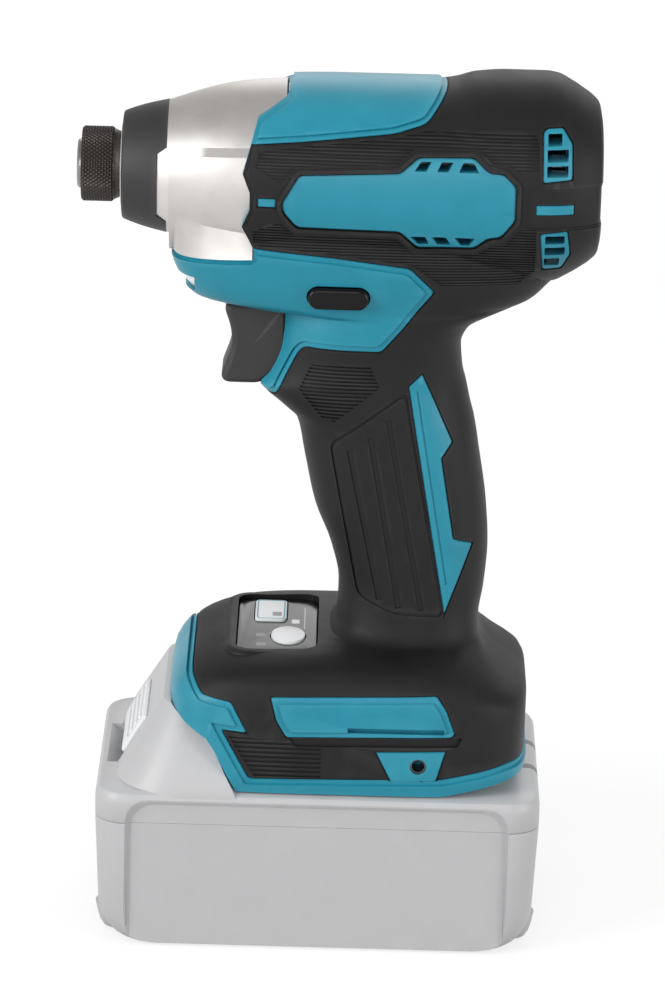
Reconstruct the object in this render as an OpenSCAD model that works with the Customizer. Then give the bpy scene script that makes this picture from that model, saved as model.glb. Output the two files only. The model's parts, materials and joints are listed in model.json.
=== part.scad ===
// Cordless impact driver with a slide-in battery pack.
// The barrel points along -X, the grip hangs below it and the pack stands on z = 0.
// The two moulded halves meet on the plane y = 0.

/* [Barrel] */
// Height of the barrel's axis above the pack's flat bottom
axis_z = 201; // [197:0.5:205]
// From the stator to the outside of the barrel above it
motor_wall = 3.8; // [3.8:0.1:5]
// From the tail of the hammer case to the outside of the barrel above it
collar_wall = 1.8; // [1.6:0.1:3]
// How much further the barrel reaches to each side than upwards
barrel_swell = 4.4; // [4:0.1:5]
// How far the rear hump stands above the barrel
hump_rise = 2.7; // [1.5:0.1:3.5]
// Rear end of the barrel
rear_x = 66.5; // [65.5:0.5:69]
// Front end of the anvil
tip_x = -67.5; // [-69:0.5:-67]
// Front face of the hammer case
case_x = -44.3; // [-45:0.1:-44]
// Radius of the hammer case at its front face
case_r = 17; // [16.6:0.1:17.6]
// Wall of the hammer case over the ring gear
case_over_ring = 2.95; // [2.8:0.05:3.4]

/* [Grip] */
// Half width of the hand grip
grip_hw = 17.8; // [17:0.1:19]
// Thickness of the soft skin over the housing
skin_t = 1.2; // [0.8:0.1:1.4]
// Wall of the moulded housing under the skin
wall_t = 2; // [1.6:0.1:2.2]
// How far the bare plates of the housing stand proud of the skin
plate_rise = 0.6; // [0.3:0.1:1]
// Width of the ledge round each bare plate
plate_ledge = 1.5; // [1:0.1:2]

/* [Foot] */
// Half width of the foot over the pack
foot_hw = 36; // [35.5:0.1:37]
// Height of the foot
foot_h = 34.5; // [33:0.5:36]
// Front end of the foot
foot_x0 = -41; // [-42:0.5:-40.5]
// Rear end of the foot
foot_x1 = 53.3; // [52.5:0.1:55]
// Thickness of the foot's flanks beside the bay that takes the pack's tongue
flank_t = 8.6; // [8.4:0.1:9]
// Height of the bay
bay_h = 15; // [14:0.5:16]
// Depth of the rail lips along y
lip_w = 3.7; // [3:0.1:4]
// Height of the rail lips
lip_h = 4.5; // [4:0.1:5]

/* [Chuck] */
// Width across flats of the bit socket
hex_af = 6.45; // [6.35:0.01:6.6]
// Depth of the bit socket
hex_l = 21; // [19:0.5:21]
// Radius of the anvil's front shaft
anvil_r = 6.4; // [6.2:0.1:6.6]
// Outer radius of the bit sleeve
sleeve_r = 9.65; // [9.4:0.05:10]
// Travel of the bit sleeve
sleeve_travel = 3; // [2:0.1:3.2]
// Diameter of the balls that hold the bit
bit_ball_d = 3.5; // [3.4:0.05:3.55]

/* [Drive] */
// Length of the hammer's body
hammer_l = 10.5; // [10:0.1:11]
// Gap between the hammer and its case
hammer_gap = 0.8; // [0.6:0.1:1.2]
// Travel of the hammer along the spindle
hammer_travel = 6; // [5.5:0.1:6.3]
// Length of the anvil's lugs and the hammer's dogs
dog_l = 5; // [4.5:0.1:5.2]
// Radius of the spindle
spindle_r = 7; // [6.8:0.05:7.05]
// Face width of the planet gears
gear_w = 7.2; // [6.5:0.1:7.6]
// Radius of the planet pins
planet_pin_r = 2; // [1.8:0.1:2.2]
// Wall of the ring gear outside its teeth
ring_rim = 2.77; // [2.6:0.01:3]

/* [Motor] */
// Outer radius of the stator
stator_r = 20.2; // [19.8:0.1:20.4]
// From the stator to the fan, with the insulator and the sensor board between them
motor_gap = 11.5; // [10.5:0.5:13]
// Depth of the stator from its outside to the rotor
stator_depth = 10; // [9.8:0.1:10.4]
// Air gap between rotor and stator
air_gap = 0.6; // [0.4:0.1:0.8]
// Gap round the fan
fan_gap = 2.3; // [2:0.1:3]
// Length of the fan
fan_l = 9; // [8:0.5:10]

/* [Controls] */
// Half width of the trigger
trigger_hw = 7.8; // [7:0.1:8.2]
// Height of the trigger
trigger_h = 21.6; // [20.5:0.1:21.8]
// Travel of the trigger
trigger_travel = 7; // [5:0.5:7]
// Length of the direction lever's head along the barrel
lever_l = 15.6; // [14:0.1:17]
// Height of the direction lever's head
lever_h = 5.6; // [5:0.1:5.8]
// Travel of the direction lever to each side
lever_travel = 3; // [2:0.1:3]
// Travel of the two panel buttons
button_travel = 0.6; // [0.4:0.1:0.6]

/* [Pack] */
// Middle of the battery pack along the barrel
pack_mid = -1.5; // [-2:0.5:0]
// From the outer cells to the ends of the pack
pack_end = 11.4; // [11:0.1:12.5]
// Room at each end of a cell, for its tabs
cell_room = 3; // [2.5:0.1:4]
// Room for the pack's board above the cells
board_room = 1.6; // [1.5:0.1:2.5]
// Radius of the pack's corners seen from above
pack_corner = 18; // [10:0.5:18]
// Wall of the pack's case
pack_wall = 2; // [1.6:0.1:2.2]
// Diameter of a cell
cell_d = 18.4; // [18:0.1:18.5]
// Length of a cell
cell_l = 65; // [64:0.5:66]
// Travel of the release button down its slope
release_travel = 4; // [3:0.5:4]

/* [Fits] */
// Gap between parts that move past each other
slide_gap = 0.3; // [0.25:0.05:0.4]
// Gap between parts that are fixed to each other
seat_gap = 0.05; // [0.03:0.01:0.08]
// Running gap of shafts in their bores
run_gap = 0.05; // [0.03:0.01:0.08]
// Gap of parts that are pressed into their seats
press_gap = 0.02; // [0.01:0.01:0.03]
// Gap between the moulded housing and what it carries
saddle_gap = 0.12; // [0.1:0.01:0.2]

/* [Hidden] */
$fn = 96;

// Points round each housing section: outside, under the skin and in the cavity, and round its holes
loop_n = 24;
under_n = 12;
cavity_n = 12;
hole_n = 16;
// Far enough to pass through everything
far = 200;
shell_t = skin_t + wall_t;
// Width of the raised rims of the skin round the flank panel and the mode panel
rim_w = 1.7;
panel_rim = 2;
// Half the gap on the parting plane of the housing
part_gap = 0.03;

// Block of the pack round its two rows of cells
cell_gap = 0.3;
cells_l = 5 * cell_d + 4 * cell_gap;
cell_top = pack_wall + seat_gap + 2 * cell_d + seat_gap;
pack_x0 = pack_mid - cells_l / 2 - pack_end;
pack_x1 = pack_mid + cells_l / 2 + pack_end;
pack_w = cell_l + 2 * (pack_wall + cell_room);
pack_h = cell_top + board_room + pack_wall;

// Gear train: the ring holds, the pinion drives and the spindle carries the planets
gear_m = 0.8;
sun_n = 12;
planet_n = 15;
ring_n = sun_n + 2 * planet_n;
pressure = 25;
tooth_add = 0.85;
tooth_ded = 1.1;
tooth_play = 0.06;
planet_c = gear_m * (sun_n + planet_n) / 2;
sun_tip = gear_m * (sun_n / 2 + tooth_add);
ring_tip = gear_m * (ring_n / 2 - tooth_add);
planet_tip = gear_m * (planet_n / 2 + tooth_add);
carrier_r = ring_tip - 0.6;
ring_r = gear_m * (ring_n / 2 + tooth_ded) + ring_rim;

// Radii of the hammer case where the housing grips it, at its tail and inside
case_rear_r = ring_r + case_over_ring;
tail_r = case_rear_r - 1.2;
case_bore_r = ring_r - 1.1;
hammer_r = min(case_r, case_bore_r) - hammer_gap;

// Half height and half width of the barrel, which covers the motor and the hammer case
barrel_hh = max(stator_r + motor_wall, tail_r + collar_wall);
barrel_hw = barrel_hh + barrel_swell;

// Heights that the foot, the grip and the barrel share
foot_z = pack_h + 0.5;
foot_top = foot_z + foot_h;
roof_z = foot_z + bay_h;
guard_z = axis_z - barrel_hh - 32;
function grip_z(f) = foot_top + f * (guard_z - foot_top);

// Stations along the barrel, from the front
case_wall = 2.4;
lug_x = case_x + 0.8;
hammer_x = lug_x + dog_l + 1;
carrier_x = hammer_x + hammer_l + hammer_travel + 0.5;
plate_t = 2.2;
gear_play = 0.25;
pocket_x = carrier_x + plate_t;
pocket_l = gear_w + 2 * gear_play;
carrier_end = pocket_x + pocket_l + plate_t;
box_x = carrier_end + 0.4;
bearing_w = 5;
web_t = 1.2;
front_bearing_w = 6;
tail_x = box_x + 4;
box_end = box_x + bearing_w + web_t + front_bearing_w;
stator_x = box_end + 3.8;
fan_x = rear_x - 22;
stator_end = fan_x - motor_gap;
stator_l = stator_end - stator_x;
insulator_t = 3;
rear_bearing_x = rear_x - 8.9;
hump_x = rear_x + 1;
step_x = -13.8;
collar_x = step_x + 0.2;

// Outer radius of the ribs that carry the motor
saddle_r = barrel_hh + 2;

// Bay under the foot
bay_hw = foot_hw - flank_t;
bay_end = foot_x1 - 6.8;
lip_z = foot_z + 1.5;
roof_t = 3;
block_x = 28;
block_l = 14;
block_hw = 14;
blade_y = 9;
blade_h = 7;
hook_slot_x = 5.8;
hook_slot_l = 25;
hook_slot_d = 1.2;

// Chuck and nose
nose_x = tip_x + 11.2;
nose_r = 11;
bush_r = 8.2;
clip_x = 1.1;
clip_t = 0.8;
land_hw = 1.2;
spring_solid = 1.4;
ball_x = tip_x + clip_x + clip_t + spring_solid + sleeve_travel + land_hw;
sleeve_x = tip_x + 1.1;
sleeve_end = nose_x - 0.3;
sleeve_bore_r = 7.5;
dog_r = hammer_r - 2.6;
pilot_r = 3;
key_l = 2.4;
key_hw = 8.8;

// Hammer drive
cam_ball_d = 5.4;
cam_c = spindle_r + 0.2;
cam_x = hammer_x + 3.6;
spring_pocket_r = hammer_r - 2.6;
spring_core_r = spring_pocket_r - 3.8;
hub_r = 7.5;
spindle_bearing_r = 12;

// Motor
rotor_r = stator_r - stator_depth;
fan_r = barrel_hh - shell_t - fan_gap;
front_bearing_r = 8.5;
rear_bearing_r = 8;
shaft_r = 3;
rear_shaft_r = 2.5;
core_bore_r = 4;
tooth_hw = 2.5;
shoe_hw = 0.45 * rotor_r;
coil_r0 = rotor_r + air_gap + 1.7;
coil_t = 3.7;
coil_hw = 4.4;

// Controller in the foot
controller_x = -24;
controller_l = 48;
controller_hw = 20;
controller_h = 7;

// Switch in the grip
switch_l = 22.5;
switch_hw = 10;
switch_z = guard_z - 2;
switch_h = 23;
trigger_dip = 2.3;

// Work light's inner end
lens_x1 = -36.8;
led_hw = 6;

// Pack
pack_split = pack_h - 8.5;
board_x = -30;
board_l = 74;
board_hw = 26;
release_l = 12;
release_hw = 14;
pack_screw_in = 6.4;
pack_screw_y = 23;
pack_screw_r = 1.5;
pack_edge = 1.2;
pack_edge_h = 2.4;

// Colours
teal = "#2f8aa3";
rubber = "#232528";
plastic = "#2c2e31";
steel = "#8d9094";
bright = "#c8cbcd";
dark = "#3b3d40";
brass = "#b5944a";
copper = "#b06a3a";
green = "#2f6b4a";
pale = "#c9cccd";
white = "#eceeee";

// Puts children on the barrel's axis, with their z along +X
module on_axis(x = 0) translate([x, 0, axis_z]) rotate([0, 90, 0]) children();

// Turns a profile of [radius, x] points about the barrel's axis
module turned(profile) on_axis() rotate_extrude() polygon(profile);

// A plain ring about the barrel's axis
module ring_at(x, l, r_in, r_out) turned([[r_in, x], [r_out, x], [r_out, x + l], [r_in, x + l]]);

// Extrudes a side view outline of [x, z] points across the tool
module side(w = far) rotate([90, 0, 0]) linear_extrude(height = w, center = true) children();

// A round bar along y
module cross_bar(x, z, r, y0, y1) translate([x, y0, z]) rotate([-90, 0, 0]) cylinder(r = r, h = y1 - y0);

// A slot with round ends that runs right across the tool
module cross_slot(a, b, r) hull() {
    for (q = [a, b]) translate([q[0], 0, q[1]]) rotate([90, 0, 0]) cylinder(r = r, h = far, center = true);
}

// Radius of a hole with hole_n sides that clears the radius r
function clear(r) = r / cos(180 / hole_n);

// A box from its two corners
module block(a, b) translate(a) cube(b - a);

// Superellipse with half axes a and b
function oval(a, b, p, n) = [for (i = [0 : n - 1])
    let (c = cos(360 * i / n), s = sin(360 * i / n))
    [a * sign(c) * pow(abs(c), 2 / p), b * sign(s) * pow(abs(s), 2 / p)]];

// Skins a list of rings that all have the same number of points
module loft(rings) {
    n = len(rings[0]);
    m = len(rings);
    sides = [for (k = [0 : m - 2], i = [0 : n - 1])
        let (a = k * n + i, b = k * n + (i + 1) % n)
        each [[a, a + n, b + n], [a, b + n, b]]];
    polyhedron(
        points = [for (r = rings) each r],
        faces = concat([[for (i = [0 : n - 1]) i]], sides, [[for (i = [n - 1 : -1 : 0]) (m - 1) * n + i]]),
        convexity = 6);
}

// Sections of foot, grip and yoke: height, front, back, half width, exponent, height shift per inset
core_rows = [
    [foot_z, foot_x0 + 0.5, foot_x1 - 3, foot_hw - 1, 5, 0],
    [foot_z + 0.15 * foot_h, foot_x0, foot_x1 - 1, foot_hw, 5, 0],
    [foot_top - 12, foot_x0 + 0.8, foot_x1 - 0.8, foot_hw, 4.8, -0.3],
    [foot_top - 6, foot_x0 + 4.4, foot_x1 - 8, foot_hw - 1, 4.4, -0.7],
    [foot_top - 2, foot_x0 + 10, foot_x1 - 12, foot_hw - 4, 3.8, -1],
    [foot_top, foot_x0 + 16, foot_x1 - 13.2, foot_hw - 9, 3.4, -1],
    [grip_z(0.022), 0.5, 39.6, grip_hw + 3.2, 3, -0.9],
    [grip_z(0.08), 2.2, 39.4, grip_hw + 0.9, 2.8, -0.4],
    [grip_z(0.2), 2.4, 40.5, grip_hw - 0.1, 2.6, 0],
    [grip_z(0.36), 0, 41.2, grip_hw - 0.1, 2.6, 0],
    [grip_z(0.526), -4.5, 40.4, grip_hw + 0.2, 2.6, 0],
    [grip_z(0.72), -7.5, 38.3, grip_hw + 0.1, 2.6, 0],
    [grip_z(0.867), -9.8, 36.5, grip_hw - 0.2, 2.6, 0],
    [guard_z - 5, -14, 35.4, grip_hw - 0.3, 2.6, 0.3],
    [guard_z + 1, -20, 34, grip_hw - 0.3, 2.6, 0.1],
    [guard_z + 4.3, -17.3, 33.1, grip_hw - 0.2, 2.6, 0],
    [guard_z + 12, -14.2, 32.4, grip_hw + 0.5, 2.6, 0],
    [guard_z + 17, -13.8, 34.6, grip_hw + 1.2, 2.5, 0.4],
    [guard_z + 21.6, -14.2, 43.2, grip_hw + 1.7, 2.4, 0.9],
    [guard_z + 23, -28, 46.8, grip_hw + 1.8, 2.4, 1],
    [guard_z + 25, -37.2, 50.4, grip_hw + 2.2, 2.4, 1],
    [guard_z + 29, -39.8, 54.2, grip_hw + 3.4, 2.4, 0.4],
    [guard_z + 34, -41.8, 58.4, grip_hw + 4.8, 2.4, 0],
    [guard_z + 44, -42.6, 61, grip_hw + 6.9, 2.5, 0]];

// Sections that the hollow follows
hollow_rows = [1, 2, 4, 6, 7, 9, 11, 13, 16, 18, 20, 21, 23];

// Sections of the barrel: x, half width, half height, exponent, x shift per inset
barrel_rows = [
    [-26, barrel_hw - 2, barrel_hh - 1, 2.2, 0],
    [step_x - 4, barrel_hw - 1.3, barrel_hh - 0.5, 2.2, 0],
    [0, barrel_hw - 0.4, barrel_hh, 2.2, 0],
    [hump_x - 42, barrel_hw, barrel_hh, 2.2, 0],
    [hump_x - 38.5, barrel_hw, barrel_hh + 0.2 * hump_rise, 2.2, 0],
    [hump_x - 33.5, barrel_hw, barrel_hh + 0.75 * hump_rise, 2.2, 0],
    [hump_x - 25.5, barrel_hw, barrel_hh + hump_rise, 2.2, 0],
    [hump_x - 15.5, barrel_hw - 0.2, barrel_hh + hump_rise, 2.2, -0.1],
    [hump_x - 11.5, barrel_hw - 0.8, barrel_hh + hump_rise - 0.7, 2.2, -0.2],
    [hump_x - 7.7, barrel_hw - 2, barrel_hh + hump_rise - 2.5, 2.2, -0.4],
    [hump_x - 4, barrel_hw - 4.4, barrel_hh + hump_rise - 5.4, 2.3, -0.7],
    [rear_x - 0.8, barrel_hw - 6.8, barrel_hh + hump_rise - 8, 2.4, -0.9],
    [rear_x, barrel_hw - 9, barrel_hh + hump_rise - 10, 2.5, -1]];

function core_ring(r, e, n) = [for (q = oval((r[2] - r[1]) / 2 - e, r[3] - e, r[4], n))
    [q[0] + (r[1] + r[2]) / 2, q[1], r[0] + r[5] * e]];
function barrel_ring(r, e, n) = [for (q = oval(r[2] - e, r[1] - e, r[3], n)) [q[0], q[1], r[0] + r[4] * e]];

// The moulded body, drawn in by e on every side
module envelope(e, n = loop_n) {
    loft([for (r = core_rows) core_ring(r, e, n)]);
    on_axis() loft([for (r = barrel_rows) barrel_ring(r, e, n)]);
}

// Side view outline that the body keeps: notched collar in front, raked ends of the foot below
module outline() difference() {
    translate([-80, foot_z]) square([160, far]);
    polygon([[-80, axis_z + 60], [collar_x, axis_z + 60], [collar_x, axis_z + 21.9], [-21.2, axis_z + 17.4],
        [-22.4, axis_z + 13.1], [-24.7, axis_z + 4.8], [-22.8, axis_z], [-22.8, axis_z - 4.6],
        [-24.7, axis_z - 9.3], [-22, axis_z - 15.5], [-24, axis_z - 17.4], [-80, axis_z - 17.4]]);
    foot_rake();
    polygon([[30, foot_z - 1], [30, foot_z], [foot_x1 + 2, foot_z + 5], [foot_x1 + 2, foot_z - 1]]);
}

// The part of the side view in front of the foot's raked lower edge, which the pack's front block fills
module foot_rake() polygon([[-80, foot_z - 1], [-80, foot_z + 21], [foot_x0 + 0.5, foot_z + 20.5],
    [foot_x0 + 4.2, foot_z + 17.4], [foot_x0 + 10.2, foot_z + 14], [foot_x0 + 12.2, foot_z + 11.2],
    [foot_x0 + 18.7, foot_z - 1]]);

// Bare plates of the housing, seen from the side
module top_plate() polygon([[-30, axis_z + 40], [-30, axis_z + 11.4], [-9.2, axis_z + 13.2],
    [13.4, axis_z + 15.6], [21.4, axis_z + 17.8], [27.1, axis_z + 24.2], [28, axis_z + 40]]);
module yoke_plate() polygon([[-60, axis_z - 15.4], [-21.5, axis_z - 15.6], [-0.9, axis_z - 17.2],
    [18.3, axis_z - 19.6], [24.6, axis_z - 26], [16.3, axis_z - 37.3], [11.6, axis_z - 43],
    [-7.9, axis_z - 43], [-9.4, axis_z - 44.5], [-15.3, axis_z - 57], [-60, axis_z - 60]]);
module blade_plate() polygon([[19.1, grip_z(1.05)], [22.3, grip_z(1.096)], [30.6, grip_z(0.825)],
    [27.9, grip_z(0.765)], [31.7, grip_z(0.44)], [36.7, grip_z(0.413)], [30.1, grip_z(0.145)]]);
module foot_front_plate() polygon([[-60, foot_top + 20], [foot_x0 + 6, foot_top + 20],
    [foot_x0 + 6, foot_z + 28.5], [foot_x0 + 8.8, foot_z + 25.2], [foot_x0 + 16.5, foot_z + 24.3],
    [foot_x0 + 20.6, foot_z + 16.5], [foot_x0 + 14, foot_z + 16.9], [foot_x0 + 21.4, foot_z + 3.8],
    [30, foot_z + 4.8], [foot_x1 - 6, foot_z + 8], [foot_x1 + 5, foot_z + 8], [foot_x1 + 5, foot_z - 5],
    [-60, foot_z - 5]]);
module flank_plate() polygon([[-14.2, foot_z + 26.2], [28.6, foot_z + 27.4], [31, foot_z + 24],
    [33.5, foot_z + 17.4], [32.5, foot_z + 16.6], [-10, foot_z + 15.7], [-12.6, foot_z + 20]]);
module hook_plate() polygon([[13.4, foot_z + 12.1], [31.2, foot_z + 12.6], [28.9, foot_z + 4.5],
    [17.4, foot_z + 4.2]]);
module upper_vent_plate() polygon([[hump_x - 16.4, axis_z + 5.3], [hump_x - 16.6, axis_z + 17],
    [hump_x - 15.6, axis_z + 17.8], [hump_x - 11.8, axis_z + 17.9], [hump_x - 9.4, axis_z + 14.3],
    [hump_x - 9.2, axis_z + 5.9]]);
module lower_vent_plate() polygon([[hump_x - 16.6, axis_z - 8.4], [hump_x - 9.9, axis_z - 7.7],
    [hump_x - 8.9, axis_z - 14.4], [hump_x - 10.9, axis_z - 18.7], [hump_x - 15.6, axis_z - 19]]);
module marker_plates() {
    translate([-20.6, axis_z - 3.2]) square([4.3, 2]);
    translate([hump_x - 17.9, axis_z - 3.1]) square([9.4, 2.4]);
}
module raised_plates() {
    top_plate();
    yoke_plate();
    foot_front_plate();
    flank_plate();
}
module plates(grow = 0) offset(delta = grow) {
    raised_plates();
    blade_plate();
    hook_plate();
    upper_vent_plate();
    lower_vent_plate();
    marker_plates();
    flank_panel();
}

// Bare panel on the barrel's flank, with a hump round each row of vents
module flank_panel() polygon([[-14.5, axis_z - 2], [-10.4, axis_z + 5.1], [14.9, axis_z + 6.4],
    [19.4, axis_z + 10.3], [33.5, axis_z + 10.7], [37.6, axis_z + 7], [41, axis_z + 7],
    [44.2, axis_z + 4], [44.2, axis_z - 4.9], [40.8, axis_z - 9.4], [37.5, axis_z - 9.9],
    [34.3, axis_z - 12.7], [19.8, axis_z - 13.2], [15.4, axis_z - 8.7], [-10.7, axis_z - 8.4],
    [-14.1, axis_z - 4.5]]);

// Outer profile of the hammer case behind its nose, as [radius, x], grown by g
function case_profile(g) = [
    [case_r + g, case_x], [case_r + 1.8 + g, case_x + 5.2], [case_r + 3.8 + g, case_x + 11.6],
    [case_rear_r - 1.2 + g, case_x + 17.9], [case_rear_r - 0.4 + g, case_x + 24.6],
    [case_rear_r + g, step_x - 0.4], [tail_r + g, step_x]];

// Trigger outline: height of its foot and x of its front and back
trigger_z = guard_z + 0.3;
trigger_x0 = -30;
trigger_x1 = -12.4;
stem_z = guard_z + 11;
stem_r = 2.4;
switch_x = -1;

// Direction lever
lever_x = 0.3;
lever_z = axis_z - barrel_hh - 4;
lever_hw = grip_hw + 3 + lever_travel;

// Mode panel on the foot
panel_x0 = foot_x0 + 17.1;
panel_x1 = -2.7;
panel_hw = 21.6;
panel_z = foot_top - 3.3;
panel_t = 2.6;
mode_x = -15.2;
mode_y = 10.6;
mode_size = [8.4, 15.6];
light_x = -10.4;
light_y = -8.7;
light_size = [9, 12.6];

// Work light under the nose
lens_hw = 12;
lens_z = axis_z - 30;
lens_h = 4.2;

// Belt hook screw in each flank of the foot
hook_x = 24.3;
hook_z = foot_z + 8.4;
insert_r = 2.9;
thread_r = 1.65;
insert_l = 6.5;

// Screws of the housing: x, z and the seat of the head along y
screw_r = 2;
screw_head_r = 3.4;
screw_head_h = 2.4;
screw_l = 18;
screws = [
    [27, guard_z + 7, 9], [-32.5, axis_z - 27, 7], [33, grip_z(0.26), 8], [9, grip_z(0.52), 9],
    [foot_x1 - 11, foot_top - 11, 16], [foot_x0 + 8, foot_top - 10, 15],
    [rear_x - 5.6, axis_z - 17, 8], [rear_x - 5.6, axis_z + 17, 8]];

// Flank vents: x of their lower left, upper left, upper right and lower right corners
upper_slots = [[18.5, 20.2, 22.9, 21.6], [24.2, 25.4, 28.4, 27.1], [29.7, 30.8, 33.5, 34.9]];
lower_slots = [[19.9, 17.9, 21.8, 22.8], [24.8, 23.4, 27, 28.4], [30.8, 29, 34.4, 33.1]];
// Rear vents: both ends from the hump's station, height from the axis and half height
rear_slots = [[-15.5, -11.9, 15.4, 1.42], [-15.6, -10.2, 11.7, 1.47], [-15.6, -10.2, 7.95, 1.38],
    [-15.4, -10.4, -10, 1.15], [-15.4, -10.2, -13.3, 1.15], [-15.4, -11.5, -16.6, 1.15]];

// A vent with slanted ends that runs right across the tool
module vent(q, z0, z1) side() polygon([[q[0], z0], [q[1], z1], [q[2], z1], [q[3], z0]]);

// The vents that the fan draws and blows through
module vents() {
    for (q = upper_slots) vent(q, axis_z + 7.2, axis_z + 9.6);
    for (q = lower_slots) vent(q, axis_z - 12.2, axis_z - 10);
    for (q = rear_slots) side() translate([hump_x + q[0], axis_z + q[2] - q[3]])
        square([q[1] - q[0], 2 * q[3]]);
}

// Outline of the mode panel seen from above
module panel_shape() translate([panel_x0, -panel_hw]) offset(r = 4, $fn = 24) offset(delta = -4)
    square([panel_x1 - panel_x0, 2 * panel_hw]);

// Bay under the foot with a rail lip along each side
module bay() difference() {
    block([-80, -bay_hw, foot_z - 5], [bay_end, bay_hw, roof_z]);
    for (s = [-1, 1]) translate([0, s * (bay_hw - lip_w / 2), 0])
        block([foot_x0 + 21, -lip_w / 2 - 0.01, lip_z], [bay_end - 2, lip_w / 2 + 0.01, lip_z + lip_h]);
}

// Openings for the parts that show or move
module openings() {
    turned(concat([[0, case_x - 5]], case_profile(1.5 * saddle_gap),
        [[tail_r + 1.5 * saddle_gap, box_end - 3], [0, box_end - 3]]), $fn = 48);
    block([-far, -trigger_hw - slide_gap, trigger_z - slide_gap],
        [trigger_x1 + trigger_travel + 1, trigger_hw + slide_gap, trigger_z + trigger_h + slide_gap]);
    cross_slot([lever_x - lever_l / 2 + lever_h / 2, lever_z], [lever_x + lever_l / 2 - lever_h / 2, lever_z],
        clear(lever_h / 2 + slide_gap));
    translate([0, 0, panel_z - seat_gap]) linear_extrude(height = 20) offset(delta = 0.1) panel_shape();
    block([panel_x0 + 3, -16, roof_z + roof_t + 1], [panel_x1 - 3, 16, panel_z + 1]);
    block([-far, -lens_hw - 0.1, lens_z - 0.1], [lens_x1, lens_hw + 0.1, lens_z + lens_h + 0.1]);
    vents();
    for (s = [-1, 1]) translate([hook_x, s * (foot_hw - insert_l - 0.1), hook_z]) rotate([-90 * s, 0, 0])
        cylinder(r = clear(insert_r + press_gap), h = 20);
    bay();
}

// What carries the inner parts: saddles round the motor, ribs beside the switch and screw bosses
module saddles() {
    ring_at(tail_x, box_end - 3 - tail_x, clear(tail_r + saddle_gap), saddle_r);
    ring_at(stator_x + 2, 3, clear(stator_r + saddle_gap), saddle_r);
    ring_at(stator_end - 5, 3, clear(stator_r + saddle_gap), saddle_r);
    ring_at(rear_bearing_x - 0.6, 20, clear(rear_bearing_r + saddle_gap), saddle_r);
    for (s = [-1, 1]) translate([0, s * (switch_hw + saddle_gap + 10), 0])
        block([4, -10, switch_z], [8, 10, switch_z + switch_h]);
    for (q = screws) cross_bar(q[0], q[1], screw_head_r + 0.8, -40, 40);
}

// Hollow of the housing: foot above the bay, grip, yoke and barrel
module cavity() difference() {
    union() {
        intersection() {
            loft([for (i = hollow_rows) core_ring(core_rows[i], shell_t, cavity_n)]);
            union() {
                block([-100, -60, roof_z + roof_t], [25, 60, axis_z - 18]);
                block([-100, -60, roof_z + roof_t], [100, 60, guard_z + 10]);
            }
        }
        on_axis(tail_x - 1)
            cylinder(r = barrel_hh - shell_t, h = rear_bearing_x + bearing_w + saddle_gap - tail_x + 1);
    }
    saddles();
}

module half(s) translate([-far, s > 0 ? part_gap : part_gap - far, 0])
    cube([2 * far, far - 2 * part_gap, 2 * far]);

// Holes for the housing screws, with the heads sunk in the right half
module screw_holes() for (q = screws) {
    cross_bar(q[0], q[1], clear(screw_head_r + 0.2), q[2], far);
    cross_bar(q[0], q[1], clear(screw_r + press_gap), q[2] - screw_l - 1, far);
}

// One moulded half: shell under the skin, bare plates level with it and raised inside their ledge
module housing(s) color(teal) intersection() {
    half(s);
    side() outline();
    difference() {
        union() {
            envelope(skin_t, under_n);
            intersection() {
                envelope(0);
                side() plates();
            }
            intersection() {
                envelope(-plate_rise);
                side() offset(delta = -plate_ledge) raised_plates();
            }
        }
        cavity();
        openings();
        screw_holes();
        block([block_x - saddle_gap, -block_hw - saddle_gap, foot_z],
            [block_x + block_l + saddle_gap, block_hw + saddle_gap, roof_z + 5]);
        block([lens_x1 - saddle_gap, -led_hw - saddle_gap, lens_z - 0.8],
            [lens_x1 + 3, led_hw + saddle_gap, lens_z + lens_h + 0.8]);
        for (s = [-1, 1]) translate([hook_slot_x, s * (foot_hw + 10 - hook_slot_d) - 10, foot_z + 17.6])
            cube([hook_slot_l, 20, 1.2]);
    }
}

module housing_left() housing(-1, $fn = hole_n);
module housing_right() housing(1, $fn = hole_n);

// One soft moulded skin, with its raised rim round the panel on the barrel's flank
module grip(s) color(rubber) intersection() {
    half(s);
    side() outline();
    difference() {
        union() {
            envelope(0);
            intersection() {
                envelope(-plate_rise);
                side() offset(delta = rim_w) flank_panel();
            }
            translate([0, 0, panel_z - 3]) linear_extrude(height = panel_t + 3.8) offset(delta = panel_rim)
                panel_shape();
        }
        envelope(skin_t - seat_gap, under_n);
        side() plates(seat_gap);
        openings();
        screw_holes();
    }
}

module grip_left() grip(-1, $fn = hole_n);
module grip_right() grip(1, $fn = hole_n);

module housing_screws() color(steel) for (q = screws) difference() {
    union() {
        cross_bar(q[0], q[1], screw_r, q[2] - screw_l, q[2] + 0.5);
        cross_bar(q[0], q[1], screw_head_r, q[2] + 0.05, q[2] + screw_head_h);
    }
    cross_bar(q[0], q[1], 1, q[2] + 0.8, q[2] + 10);
}

// Cast case over the hammer, with a key on each flank that turns the bumper
module hammer_case() color(bright) {
    turned(concat(
        [[bush_r + press_gap, nose_x], [nose_r - 0.6, nose_x], [nose_r, nose_x + 0.6], [nose_r, case_x]],
        case_profile(0),
        [[tail_r, tail_x], [ring_r + press_gap, tail_x], [ring_r + press_gap, pocket_x - 0.6],
        [case_bore_r, pocket_x - 0.6], [case_bore_r, case_x + 17.9],
        [case_r + 3.8 - case_wall, case_x + 11.6], [case_r + 1.8 - case_wall, case_x + 5.2],
        [case_r - case_wall, case_x + 1.5], [case_r - case_wall, case_x + 0.3],
        [bush_r + press_gap, case_x + 0.3]]));
    intersection() {
        turned(concat([[nose_r - 0.5, case_x + 0.1]], bumper_profile, [[nose_r - 0.5, nose_x]]));
        bumper_keys(0);
    }
}

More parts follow.
